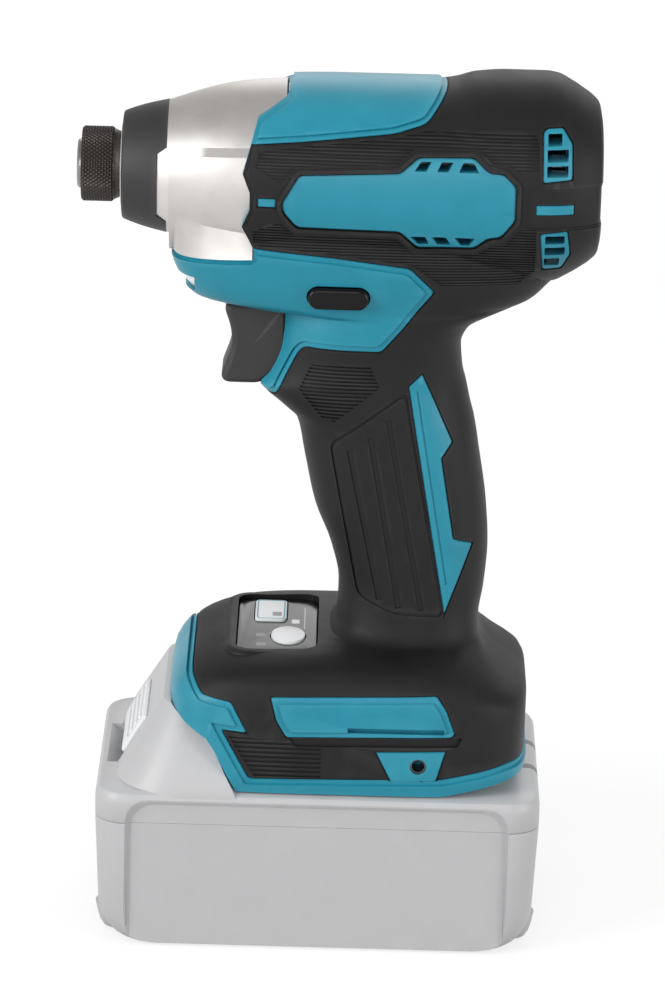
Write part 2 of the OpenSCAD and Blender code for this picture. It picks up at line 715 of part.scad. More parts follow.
// Outer profile of the bumper from its rear edge to its front
bumper_profile = [[case_r + 0.4, case_x + 0.1], [case_r + 0.4, case_x - 0.4], [case_r - 0.7, case_x - 4],
    [case_r - 2.3, case_x - 9], [case_r - 3.6, nose_x + 0.4], [case_r - 4.4, nose_x - 0.1]];

// The notch in each flank of the bumper
module bumper_keys(g) for (s = [-1, 1]) translate([case_x - key_l - g, s * 20 - 10, axis_z - key_hw - g])
    cube([key_l + 5, 20, 2 * key_hw + 2 * g]);

module bumper() color(rubber) difference() {
    turned(concat([[nose_r + press_gap, case_x - 0.05], [case_r + 0.4, case_x - 0.05]],
        [for (i = [1 : 5]) bumper_profile[i]], [[nose_r + press_gap, nose_x - 0.1]]));
    bumper_keys(seat_gap);
}

module anvil_bush() color(brass) ring_at(nose_x + 0.1, case_x - nose_x - 0.1, anvil_r + run_gap, bush_r);

// A sector of a ring about the barrel's axis, of half angle a, centred on angle t
module lug(x, l, r_in, r_out, a, t) on_axis(x) rotate(t) intersection() {
    difference() {
        cylinder(r = r_out, h = l);
        translate([0, 0, -1]) cylinder(r = r_in, h = l + 2);
    }
    translate([0, 0, -1]) linear_extrude(height = l + 2)
        polygon([[0, 0], [40 * cos(a), -40 * sin(a)], [40 * cos(a), 40 * sin(a)]]);
}

module anvil() color(steel) difference() {
    union() {
        turned([[0, tip_x], [anvil_r - 0.5, tip_x], [anvil_r, tip_x + 0.5], [anvil_r, lug_x - 0.2],
            [anvil_r + 1.4, lug_x - 0.2], [anvil_r + 1.4, lug_x + dog_l], [0, lug_x + dog_l]]);
        for (t = [90, 270]) lug(lug_x, dog_l, anvil_r + 0.5, dog_r, 24, t);
    }
    on_axis(tip_x - 1) cylinder(d = hex_af / cos(30), h = hex_l + 1, $fn = 6);
    turned([[0, tip_x - 0.1], [hex_af / 2 + 0.9, tip_x - 0.1], [hex_af / 2 - 0.2, tip_x + 1],
        [0, tip_x + 1]]);
    on_axis(lug_x + dog_l - 4) cylinder(r = pilot_r + run_gap, h = 5);
    ring_at(tip_x + clip_x, clip_t, anvil_r - 0.5, anvil_r + 1);
    for (s = [-1, 1]) translate([ball_x, 0, axis_z]) rotate([s * 90 + 90, 0, 0])
        cylinder(d = bit_ball_d + 0.1, h = 10, $fn = 32);
}

module bit_balls() color(bright) for (s = [-1, 1])
    translate([ball_x, 0, axis_z + s * (anvil_r + 0.05 - bit_ball_d / 2)]) sphere(d = bit_ball_d, $fn = 32);

module sleeve_ring() color(steel)
    ring_at(tip_x + clip_x + 0.03, clip_t - 0.06, anvil_r - 0.45, sleeve_bore_r - 0.2);

// Knurled collar, pulled forward to free the bit
module bit_sleeve() color(plastic) turned([
    [sleeve_bore_r, sleeve_x], [sleeve_r - 0.5, sleeve_x], [sleeve_r, sleeve_x + 0.5],
    [sleeve_r, sleeve_x + 7.6], [sleeve_r - 0.7, sleeve_x + 7.9], [sleeve_r - 0.7, sleeve_x + 9.2],
    [sleeve_r - 1.1, sleeve_end], [anvil_r + 1.7, sleeve_end], [anvil_r + 1.7, ball_x + land_hw],
    [anvil_r + 0.1, ball_x + land_hw], [anvil_r + 0.1, ball_x - land_hw], [sleeve_bore_r, ball_x - land_hw]]);

// One tube of radius w, wound round the z axis from z = 0 to z = l in so many steps a turn
module coil(r, w, l, turns, steps = 8) {
    n = steps * turns;
    rise = atan((l - 2 * w) / (turns * 2 * PI * r));
    loft([for (k = [0 : n])
        let (t = 360 * turns * k / n, z = w + (l - 2 * w) * k / n)
        [for (i = [0 : 5]) let (u = w * cos(60 * i), v = w * sin(60 * i))
            [(r + u) * cos(t) - v * sin(rise) * sin(t), (r + u) * sin(t) + v * sin(rise) * cos(t),
            z - v * cos(rise)]]]);
}

module sleeve_spring() color(steel)
    on_axis(tip_x + clip_x + clip_t + 0.1) coil((anvil_r + sleeve_bore_r) / 2, 0.3,
        spring_solid + sleeve_travel - 0.2, 2.5, 16);

// Hammer: two dogs in front, a ball groove in the bore and a pocket for its spring behind
module hammer() color(dark) difference() {
    union() {
        turned([[spindle_r + run_gap, hammer_x], [hammer_r - 0.6, hammer_x], [hammer_r, hammer_x + 0.6],
            [hammer_r, hammer_x + hammer_l], [spring_pocket_r, hammer_x + hammer_l],
            [spring_pocket_r, hammer_x + 4.5], [spring_core_r, hammer_x + 4.5],
            [spring_core_r, hammer_x + hammer_l], [spindle_r + run_gap, hammer_x + hammer_l]]);
        for (t = [0, 180]) lug(hammer_x - dog_l + 0.3, dog_l, anvil_r + 2.4, dog_r, 24, t);
    }
    for (s = [-1, 1]) translate([0, s * cam_c, 0]) {
        on_axis(hammer_x - 8) cylinder(d = cam_ball_d + 0.3, h = cam_x - hammer_x + 8);
        translate([cam_x, 0, axis_z]) sphere(d = cam_ball_d + 0.3);
    }
}

module cam_balls() color(bright) for (s = [-1, 1])
    translate([cam_x, s * cam_c, axis_z]) sphere(d = cam_ball_d);

module spring_washer() color(steel)
    ring_at(hammer_x + 4.55, 0.8, spring_core_r + 0.1, spring_pocket_r - 0.1);

module hammer_spring() color(steel) on_axis(hammer_x + 5.4)
    coil((spring_core_r + spring_pocket_r) / 2, 0.9, carrier_x - hammer_x - 5.5, 3.5, 12);

// Spindle with its planet carrier
module spindle() color(steel) difference() {
    turned([[0, hammer_x - 4.4], [pilot_r - 0.3, hammer_x - 4.4], [pilot_r, hammer_x - 4],
        [pilot_r, hammer_x - 0.7], [spindle_r, hammer_x - 0.7], [spindle_r, carrier_x],
        [carrier_r, carrier_x], [carrier_r, carrier_end], [hub_r, carrier_end],
        [hub_r, box_x + bearing_w], [sun_tip + 0.5, box_x + bearing_w], [sun_tip + 0.5, pocket_x - 0.5],
        [0, pocket_x - 0.5]]);
    for (t = [0, 180]) on_axis() rotate(t) translate([planet_c, 0, 0]) {
        translate([0, 0, pocket_x]) cylinder(r = planet_tip + 0.35, h = pocket_l);
        translate([0, 0, carrier_x + 0.5]) cylinder(r = planet_pin_r + press_gap, h = far);
    }
    for (s = [-1, 1]) translate([cam_x, s * cam_c, axis_z]) sphere(d = cam_ball_d + 0.1);
}

module planet_pins() color(bright) for (t = [0, 180])
    on_axis(carrier_x + 0.55) rotate(t) translate([planet_c, 0, 0])
        cylinder(r = planet_pin_r, h = carrier_end - carrier_x - 0.7);

// Involute of the base circle: the roll angle in degrees at pressure angle a
function involute(a) = tan(a) * 180 / PI - a;
// Half angle of a tooth of an n-tooth gear at radius r, with side play p
function tooth_half(n, r, p) = 90 / n - p / (gear_m * n / 2) * 90 / PI + involute(pressure)
    - involute(acos(min(1, gear_m * n / 2 * cos(pressure) / r)));
// Outline of an n-tooth gear with the given addendum, dedendum and side play
function gear_outline(n, add, ded, p) = let (r0 = gear_m * (n / 2 - ded), r1 = gear_m * (n / 2 + add))
    [for (k = [0 : n - 1], q = [-4, -3, -2, -1, 1, 2, 3, 4]) let (
        r = r1 + (r0 - r1) * (abs(q) - 1) / 3,
        a = 360 * k / n + sign(q) * tooth_half(n, r, p))
        [r * cos(a), r * sin(a)]];

module gear(n) linear_extrude(height = gear_w) difference() {
    polygon(gear_outline(n, tooth_add, tooth_ded, tooth_play));
    circle(r = planet_pin_r + run_gap);
}

module planet(t) color(steel) on_axis(pocket_x + gear_play) rotate(t) translate([planet_c, 0, 0])
    gear(planet_n);
module planet_gear_a() planet(0);
module planet_gear_b() planet(180);

module ring_gear() color(dark) on_axis(pocket_x - 0.5) linear_extrude(height = pocket_l + 0.6) difference() {
    circle(r = ring_r);
    polygon(gear_outline(ring_n, tooth_ded, tooth_add, -tooth_play));
}

// Holds the rear of the spindle and the front of the rotor
module bearing_box() color(plastic) difference() {
    turned([[spindle_bearing_r + press_gap, box_x], [ring_tip + 0.3, box_x], [ring_tip + 0.3, box_x - 2],
        [ring_r, box_x - 2], [ring_r, tail_x + 0.05], [tail_r, tail_x + 0.05], [tail_r, box_end - 3.2],
        [12, box_end - 3.2], [12, box_end], [front_bearing_r + press_gap, box_end],
        [front_bearing_r + press_gap, box_end - front_bearing_w], [6.6, box_end - front_bearing_w],
        [6.6, box_x + bearing_w], [spindle_bearing_r + press_gap, box_x + bearing_w]]);
    ring_at(box_x + 1.2, 1.2, ring_r - 1, ring_r + 1);
}

module case_o_ring() color(rubber) on_axis(box_x + 1.8) rotate_extrude() translate([ring_r - 0.5, 0])
    circle(r = 0.48, $fn = 24);

// A ball bearing: two rings with a shallow groove between them at each side
module bearing(x, w, r_in, r_out) color(bright) turned([
    [r_in, x], [r_in + 1, x], [r_in + 1.2, x + 0.4], [r_out - 1.2, x + 0.4], [r_out - 1, x], [r_out, x],
    [r_out, x + w], [r_out - 1, x + w], [r_out - 1.2, x + w - 0.4], [r_in + 1.2, x + w - 0.4],
    [r_in + 1, x + w], [r_in, x + w]]);
module spindle_bearing()
    bearing(box_x + press_gap, bearing_w - 2 * press_gap, hub_r + press_gap, spindle_bearing_r);
module rotor_bearing_front() bearing(box_end - front_bearing_w + press_gap, front_bearing_w - 2 * press_gap,
    shaft_r + press_gap, front_bearing_r);
module rotor_bearing_rear() bearing(rear_bearing_x, bearing_w, rear_shaft_r + press_gap, rear_bearing_r);

module rotor_shaft() color(bright) {
    on_axis(pocket_x) linear_extrude(height = pocket_l + 1)
        polygon(gear_outline(sun_n, tooth_add, tooth_ded, tooth_play));
    turned([[0, pocket_x + pocket_l], [3.7, pocket_x + pocket_l], [3.7, box_end - front_bearing_w - 0.4],
        [shaft_r, box_end - front_bearing_w - 0.4], [shaft_r, stator_x], [core_bore_r, stator_x],
        [core_bore_r, stator_end], [rear_shaft_r, stator_end], [rear_shaft_r, rear_bearing_x + bearing_w],
        [0, rear_bearing_x + bearing_w]]);
}

// Rotor stack with a slot for each of its four magnets
module rotor_core() color(dark) on_axis(stator_x + 0.3) linear_extrude(height = stator_l - 0.6) difference() {
    circle(r = rotor_r);
    circle(r = core_bore_r + press_gap);
    for (t = [0 : 90 : 270]) rotate(t + 45) translate([rotor_r - 3.4, -rotor_r / 2]) square([1.6, rotor_r]);
}

// Fan disc with straight blades on its front
module fan() color(plastic) {
    turned([[rear_shaft_r + press_gap, fan_x], [6, fan_x], [6, fan_x + fan_l - 2],
        [fan_r, fan_x + fan_l - 1.2], [fan_r, fan_x + fan_l], [rear_shaft_r + press_gap, fan_x + fan_l]]);
    for (i = [0 : 10]) on_axis(fan_x + 1) rotate(360 * i / 11) translate([0, 3, 0])
        translate([8, 0, 0]) cube([fan_r - 8.8, 1, fan_l - 1.8]);
}

module stator_core() color(steel) on_axis(stator_x) linear_extrude(height = stator_l) {
    difference() {
        circle(r = stator_r);
        circle(r = stator_r - 3.4);
    }
    for (t = [0 : 60 : 300]) rotate(t) difference() {
        union() {
            translate([rotor_r, -tooth_hw]) square([stator_r - rotor_r - 2, 2 * tooth_hw]);
            intersection() {
                circle(r = rotor_r + air_gap + 1.4);
                translate([rotor_r - 2, -shoe_hw]) square([6, 2 * shoe_hw]);
            }
        }
        circle(r = rotor_r + air_gap);
    }
}

module stator_coils() color(copper) for (t = [0 : 60 : 300]) on_axis(stator_x) rotate(t) difference() {
    translate([coil_r0, -coil_hw, -insulator_t]) cube([coil_t, 2 * coil_hw, stator_l + 2 * insulator_t]);
    translate([coil_r0 - 1, -tooth_hw - 0.1, -0.1]) cube([coil_t + 2, 2 * tooth_hw + 0.2, stator_l + 0.2]);
}

module stator_insulators() color(pale) {
    ring_at(stator_x - insulator_t, insulator_t - seat_gap, stator_r - 3.3, stator_r - 0.1);
    ring_at(stator_end + seat_gap, insulator_t - seat_gap, stator_r - 3.3, stator_r - 0.1);
}

module sensor_board() color(green) ring_at(stator_end + insulator_t + 0.1, 1.2, 8, stator_r - 1.5);

module switch_body() color(plastic) difference() {
    block([switch_x, -switch_hw, switch_z], [switch_x + switch_l, switch_hw, switch_z + switch_h]);
    translate([switch_x - 1, 0, stem_z]) rotate([0, 90, 0])
        cylinder(r = stem_r + slide_gap, h = trigger_travel + 4.5);
}

// Trigger with its finger hollow in front and its stem behind
module trigger() color(rubber) {
    intersection() {
        side(2 * trigger_hw) polygon(concat(
            [for (t = [0 : 0.1 : 1])
                [trigger_x0 + 0.6 * t + trigger_dip * sin(180 * t), trigger_z + t * trigger_h]],
            [[trigger_x1, trigger_z + trigger_h], [trigger_x1, trigger_z + 6], [trigger_x1 - 6, trigger_z]]));
        linear_extrude(height = 2 * far) offset(r = 4) offset(delta = -4)
            translate([trigger_x0, -trigger_hw]) square([far, 2 * trigger_hw]);
    }
    translate([trigger_x1 - 1, 0, stem_z]) rotate([0, 90, 0])
        cylinder(r = stem_r, h = switch_x + 3 - trigger_x1);
}

module trigger_spring() color(steel) translate([trigger_x1 + 0.1, 0, stem_z]) rotate([0, 90, 0])
    coil(stem_r + 1, 0.4, switch_x - trigger_x1 - 0.2, 5);

// Push-through bar with a pill shaped head at each end
module direction_lever() color(plastic) side(2 * lever_hw) hull() {
    for (s = [-1, 1]) translate([lever_x + s * (lever_l - lever_h) / 2, lever_z])
        circle(d = lever_h, $fn = 32);
}

module led_lens() color(white) intersection() {
    envelope(0.2);
    block([-far, -lens_hw, lens_z], [lens_x1 - saddle_gap, lens_hw, lens_z + lens_h]);
}

module led_board() color(green)
    block([lens_x1, -led_hw, lens_z - 0.7], [lens_x1 + 1.2, led_hw, lens_z + lens_h + 0.7]);

module controller() color(plastic)
    block([controller_x, -controller_hw, roof_z + roof_t + seat_gap],
        [controller_x + controller_l, controller_hw, roof_z + roof_t + controller_h]);

// Bezel of the mode panel with an opening for each button
module mode_panel() color(plastic) translate([0, 0, panel_z]) linear_extrude(height = panel_t) difference() {
    panel_shape();
    offset(delta = slide_gap) mode_shape();
    offset(delta = slide_gap) light_shape();
}

module mode_shape() translate([mode_x, mode_y]) square(mode_size, center = true);
module light_shape() translate([light_x, light_y]) scale([light_size[0] / light_size[1], 1])
    circle(d = light_size[1]);

module panel_board() color(green)
    block([panel_x0 + 3.5, -15.5, panel_z - 1.6], [panel_x1 - 3.5, 15.5, panel_z - seat_gap]);

module button_blank() translate([0, 0, panel_z + button_travel + 0.05])
    linear_extrude(height = panel_t) children();
module mode_button() color(white) button_blank() mode_shape();
module light_button() color(white) button_blank() light_shape();

// Terminal block in the bay's roof, with two blades that enter the pack's tongue
module terminal_block() color(plastic) {
    block([block_x, -block_hw, roof_z], [block_x + block_l, block_hw, roof_z + 4.5]);
    for (s = [-1, 1]) translate([0, s * blade_y, 0])
        block([block_x + 2, -0.4, roof_z - blade_h], [block_x + block_l - 2, 0.4, roof_z + 1]);
}

// Threaded insert for the belt hook in each flank of the foot
module hook_inserts() color(brass) for (s = [-1, 1])
    translate([hook_x, s * (foot_hw - insert_l), hook_z]) rotate([-90 * s, 0, 0]) difference() {
        cylinder(r = insert_r, h = insert_l);
        translate([0, 0, -1]) cylinder(r = thread_r, h = insert_l + 2);
    }

// Plan of the pack, drawn in by e
module pack_plan(e) translate([pack_x0 + e, e - pack_w / 2]) offset(r = pack_corner - e, $fn = 48)
    offset(delta = e - pack_corner) square([pack_x1 - pack_x0 - 2 * e, pack_w - 2 * e]);

// Where the pack's screws stand
module pack_screw_places() for (x = [pack_x0 + pack_screw_in, pack_x1 - pack_screw_in], s = [-1, 1])
    translate([x, s * pack_screw_y, 0]) children();

module battery_case_lower() color(pale) difference() {
    union() {
        difference() {
            union() {
                hull() {
                    linear_extrude(height = 0.1) pack_plan(pack_edge);
                    translate([0, 0, pack_edge_h - 0.1]) linear_extrude(height = 0.1) pack_plan(0);
                }
                translate([0, 0, pack_edge_h]) linear_extrude(height = pack_split - pack_edge_h) pack_plan(0);
            }
            translate([0, 0, pack_wall]) linear_extrude(height = pack_split) pack_plan(pack_wall + 1);
        }
        intersection() {
            pack_screw_places() cylinder(r = 3.6, h = pack_split);
            linear_extrude(height = far) pack_plan(1);
        }
    }
    pack_screw_places() {
        translate([0, 0, -1]) cylinder(r = 2.8, h = 4);
        cylinder(r = pack_screw_r + press_gap, h = far);
    }
    for (s = [-1, 1]) translate([pack_mid, s * (pack_w / 2 + 9.2), 19]) cube([cells_l, 20, 21], center = true);
}

// Where the release button slides on the pack's front slope
slope_a = atan2(foot_z + 24.8 - pack_h, foot_x0 - pack_x0 - 3.7);
module on_slope() translate([(pack_x0 + foot_x0 + 0.7) / 2, 0, (pack_h + foot_z + 14.8) / 2])
    rotate([0, -slope_a, 0]) children();

module front_block() side(pack_w) intersection() {
    polygon([[pack_x0, pack_split], [pack_x0 + 2.2, pack_h - 5], [foot_x0 - 1.5, foot_z + 19.8],
        [foot_x0 + 2, foot_z + 19.8], [0, foot_z + 10], [0, pack_split]]);
    union() {
        offset(delta = -slide_gap - 0.1) foot_rake();
        translate([-80, 0]) square([80, pack_h]);
    }
}

module battery_case_upper() color(pale) difference() {
    union() {
        difference() {
            union() {
                translate([0, 0, pack_split + seat_gap])
                    linear_extrude(height = pack_h - pack_split - seat_gap) pack_plan(0);
                intersection() {
                    front_block();
                    translate([0, 0, pack_split + seat_gap]) linear_extrude(height = far) pack_plan(0);
                }
                block([foot_x0 + 17, lip_w + slide_gap - bay_hw, pack_h - 1],
                    [bay_end - 0.6, bay_hw - lip_w - slide_gap, lip_z + lip_h + 1]);
                block([foot_x0 + 17, slide_gap + 0.1 - bay_hw, lip_z + lip_h + slide_gap],
                    [bay_end - 0.6, bay_hw - slide_gap - 0.1, roof_z - 0.4]);
            }
            translate([0, 0, pack_split - 1]) linear_extrude(height = pack_h - pack_wall - pack_split + 1)
                pack_plan(pack_wall + 1);
        }
        intersection() {
            pack_screw_places() translate([0, 0, pack_split + seat_gap])
                cylinder(r = 3.6, h = pack_h - pack_split - 1);
            linear_extrude(height = far) pack_plan(1);
        }
    }
    pack_screw_places() cylinder(r = pack_screw_r + press_gap, h = pack_split + 6);
    for (s = [-1, 1]) translate([0, s * blade_y, 0])
        block([block_x + 1, -1.6, pack_h - 3], [far, 1.6, roof_z + 1]);
    on_slope() {
        block([-release_l / 2 - release_travel - slide_gap, -release_hw - slide_gap, -3.3],
            [release_l / 2 + slide_gap, release_hw + slide_gap, 20]);
        block([-10, -release_hw + 2.5, -7.5], [5, release_hw - 2.5, 0]);
    }
}

module battery_screws() color(steel) pack_screw_places() {
    translate([0, 0, 0.8]) cylinder(r = 2.6, h = 2);
    translate([0, 0, 2.7]) cylinder(r = pack_screw_r, h = pack_split + 2.5);
}

module battery_cells() color(teal) for (i = [-2 : 2], k = [0, 1])
    translate([pack_mid + i * (cell_d + cell_gap), -cell_l / 2,
        pack_wall + seat_gap + cell_d / 2 + k * (cell_d + seat_gap)])
        rotate([-90, 0, 0]) cylinder(d = cell_d, h = cell_l);

module battery_board() color(green) block([board_x, -board_hw, cell_top + 0.1],
    [board_x + board_l, board_hw, pack_h - pack_wall - 0.1]);

// Spring clip round each blade, standing on the pack's board
module battery_terminals() color(copper) for (s = [-1, 1]) translate([0, s * blade_y, 0]) difference() {
    block([block_x + 2, -1.25, pack_h - pack_wall], [block_x + block_l - 3, 1.25, roof_z - 1.5]);
    block([block_x, -0.75, roof_z - blade_h - 0.6], [block_x + block_l, 0.75, roof_z]);
}

module release_button() color(white) on_slope() {
    block([-release_l / 2, -release_hw, -3], [release_l / 2, release_hw, 1]);
    block([2, -release_hw + 3, -7], [4.5, release_hw - 3, -2.9]);
}

module release_springs() color(steel) on_slope() for (s = [-1, 1])
    translate([-9.9, s * 6, -5.2]) rotate([0, 90, 0]) coil(1.4, 0.35, 11.8, 4);

housing_left();
housing_right();
grip_left();
grip_right();
housing_screws();
hammer_case();
bumper();
anvil_bush();
anvil();
bit_sleeve();
sleeve_spring();
sleeve_ring();
bit_balls();
hammer();
hammer_spring();
spring_washer();
cam_balls();
spindle();
planet_pins();
planet_gear_a();
planet_gear_b();
ring_gear();
bearing_box();
case_o_ring();
spindle_bearing();
rotor_bearing_front();
rotor_bearing_rear();
rotor_shaft();
rotor_core();
fan();
stator_core();
stator_coils();
stator_insulators();
sensor_board();
switch_body();
trigger();
trigger_spring();
direction_lever();
led_lens();
led_board();
controller();
mode_panel();
panel_board();
mode_button();
light_button();
terminal_block();
hook_inserts();
battery_case_lower();
battery_case_upper();
battery_screws();
battery_cells();
battery_board();
battery_terminals();
release_button();
release_springs();
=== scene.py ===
# %% [markdown]
# # Dressing a cordless impact driver
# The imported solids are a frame: they say where each piece sits and how it moves.
# This script keeps their places and gives the tool its moulded shells, soft skin,
# cast nose and battery pack as fine meshes with procedural finishes.

# %% Load the frame
import json
import math

import bpy
import numpy as np
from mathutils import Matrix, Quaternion, Vector


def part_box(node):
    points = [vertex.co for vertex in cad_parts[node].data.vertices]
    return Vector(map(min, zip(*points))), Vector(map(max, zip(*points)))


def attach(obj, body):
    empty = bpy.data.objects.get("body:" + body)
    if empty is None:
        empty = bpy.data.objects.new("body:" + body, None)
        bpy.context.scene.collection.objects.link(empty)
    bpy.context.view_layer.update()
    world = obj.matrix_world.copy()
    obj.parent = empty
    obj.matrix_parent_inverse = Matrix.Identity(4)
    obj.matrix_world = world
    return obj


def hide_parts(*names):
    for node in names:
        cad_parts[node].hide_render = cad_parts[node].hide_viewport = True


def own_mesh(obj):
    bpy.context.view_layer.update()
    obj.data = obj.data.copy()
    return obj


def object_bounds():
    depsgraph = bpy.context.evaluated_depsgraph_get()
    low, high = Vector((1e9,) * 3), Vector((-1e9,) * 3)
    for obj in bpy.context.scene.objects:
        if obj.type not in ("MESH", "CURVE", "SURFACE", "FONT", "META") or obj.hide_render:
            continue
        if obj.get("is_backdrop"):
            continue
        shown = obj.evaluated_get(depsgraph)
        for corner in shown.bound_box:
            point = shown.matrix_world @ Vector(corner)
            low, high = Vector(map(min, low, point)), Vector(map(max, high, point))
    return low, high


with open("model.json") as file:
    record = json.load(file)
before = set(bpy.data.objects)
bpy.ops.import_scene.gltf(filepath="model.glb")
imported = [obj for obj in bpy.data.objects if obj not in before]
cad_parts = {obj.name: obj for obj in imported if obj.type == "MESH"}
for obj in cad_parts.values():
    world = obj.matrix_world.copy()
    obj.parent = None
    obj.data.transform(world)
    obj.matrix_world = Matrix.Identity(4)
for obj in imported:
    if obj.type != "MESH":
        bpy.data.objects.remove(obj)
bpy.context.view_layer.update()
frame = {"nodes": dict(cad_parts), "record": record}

MM = 0.001

# %% [markdown]
# ## Camera, floor and light
# The tool is seen from its left side and a little above, through a long lens, and
# leans by a degree or two in the picture. A long lens far away keeps the barrel's
# ends equally large. The lamps are broad and soft, as in a studio for catalogue shots.

# %% Camera
EYE_UP = math.radians(18)
EYE_FAR = 1.4
PICTURE_LEAN = math.radians(1.6)
LOOK_AT = Vector((0.00023, 0, 0.11188))
FOCAL_MM, SENSOR_MM = 192.4, 36

towards_eye = Vector((0, -math.cos(EYE_UP), math.sin(EYE_UP)))
lens = bpy.data.cameras.new("camera")
lens.lens = FOCAL_MM
lens.sensor_width = SENSOR_MM
camera = bpy.data.objects.new("camera", lens)
bpy.context.scene.collection.objects.link(camera)
camera.location = LOOK_AT + towards_eye * EYE_FAR
camera.rotation_mode = "QUATERNION"
camera.rotation_quaternion = towards_eye.to_track_quat("Z", "Y") @ Quaternion((0, 0, 1), PICTURE_LEAN)
bpy.context.scene.camera = camera
bpy.context.scene.view_settings.view_transform = "Standard"
print("camera at", [round(c, 3) for c in camera.location])


# %% Selection helpers
def clear():
    """Object mode with nothing selected."""
    if bpy.context.object and bpy.context.object.mode != "OBJECT":
        bpy.ops.object.mode_set(mode="OBJECT")
    bpy.ops.object.select_all(action="DESELECT")


def pick(piece):
    """Only this piece selected and active."""
    clear()
    piece.select_set(True)
    bpy.context.view_layer.objects.active = piece


def edit(piece):
    """This piece in edit mode with all of it selected."""
    pick(piece)
    bpy.ops.object.mode_set(mode="EDIT")
    bpy.ops.mesh.select_all(action="SELECT")


def modify(piece, kind, **settings):
    """Adds a modifier and applies it."""
    pick(piece)
    step = piece.modifiers.new(kind.lower(), kind)
    for name, value in settings.items():
        setattr(step, name, value)
    bpy.ops.object.modifier_apply(modifier=step.name)


# %% Floor
FLOOR_SIZE, FLOOR_GAP, FLOOR_GLOW = 14, 0.0004, 0.74

clear()
bpy.ops.mesh.primitive_plane_add(size=FLOOR_SIZE, location=(0, 0, -FLOOR_GAP))
floor = bpy.context.object
floor.name = "floor"
floor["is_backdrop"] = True
paper = bpy.data.materials.new("pale_paper")
paper.use_nodes = True
tree = paper.node_tree
tree.nodes.clear()
out = tree.nodes.new("ShaderNodeOutputMaterial")
lit = tree.nodes.new("ShaderNodeBsdfDiffuse")
lit.inputs["Color"].default_value = (0.3, 0.3, 0.3, 1)
glow = tree.nodes.new("ShaderNodeEmission")
ray = tree.nodes.new("ShaderNodeLightPath")
seen = tree.nodes.new("ShaderNodeMath")
seen.operation = "MAXIMUM"
seen_too = tree.nodes.new("ShaderNodeMath")
seen_too.operation = "MAXIMUM"
level = tree.nodes.new("ShaderNodeMath")
level.operation = "MULTIPLY"
level.inputs[1].default_value = FLOOR_GLOW
both = tree.nodes.new("ShaderNodeAddShader")
tree.links.new(ray.outputs["Is Camera Ray"], seen.inputs[0])
tree.links.new(ray.outputs["Is Glossy Ray"], seen.inputs[1])
tree.links.new(seen.outputs[0], seen_too.inputs[0])
tree.links.new(ray.outputs["Is Transmission Ray"], seen_too.inputs[1])
tree.links.new(seen_too.outputs[0], level.inputs[0])
tree.links.new(level.outputs[0], glow.inputs["Strength"])
tree.links.new(lit.outputs[0], both.inputs[0])
tree.links.new(glow.outputs[0], both.inputs[1])
tree.links.new(both.outputs[0], out.inputs["Surface"])
floor.data.materials.append(paper)
print("floor:", FLOOR_SIZE, "m across")

# %% World and lamps
SKY = 0.56
# Name, place, size and power
LAMPS = [("key", (-1.35, -0.9, 0.75), 0.9, 18.5), ("fill", (1.35, -0.75, 0.45), 0.9, 10.0),
         ("front", (-0.2, -1.6, 0.6), 0.7, 4.5), ("back", (0.2, 1.4, 0.8), 0.9, 4.0)]

world = bpy.data.worlds.new("studio")
bpy.context.scene.world = world
world.use_nodes = True
tree = world.node_tree
sky = tree.nodes["Background"]
sky.inputs["Color"].default_value = (1, 1, 1, 1)
ray = tree.nodes.new("ShaderNodeLightPath")
seen = tree.nodes.new("ShaderNodeMapRange")
seen.inputs["To Min"].default_value = SKY
seen.inputs["To Max"].default_value = 1.0
tree.links.new(ray.outputs["Is Camera Ray"], seen.inputs["Value"])
tree.links.new(seen.outputs["Result"], sky.inputs["Strength"])

for name, place, size, power in LAMPS:
    lamp = bpy.data.lights.new(name, "AREA")
    lamp.size = size
    lamp.energy = power
    holder = bpy.data.objects.new(name, lamp)
    bpy.context.scene.collection.objects.link(holder)
    holder.location = place
    holder.rotation_euler = (Vector(place) - LOOK_AT).to_track_quat("Z", "Y").to_euler()
print("lamps:", [row[0] for row in LAMPS])

# %% [markdown]
# ## Finishes
# Moulded plastic, soft rubber and cast alloy all come out of a tool with a surface
# of its own: a spark-eroded grain, a blasted skin, a ground line. Each finish here is
# one Principled shader: a slow noise drifts its colour and gloss a little, and a fine
# noise in Object coordinates raises the grain, so it stays put on a moving piece.


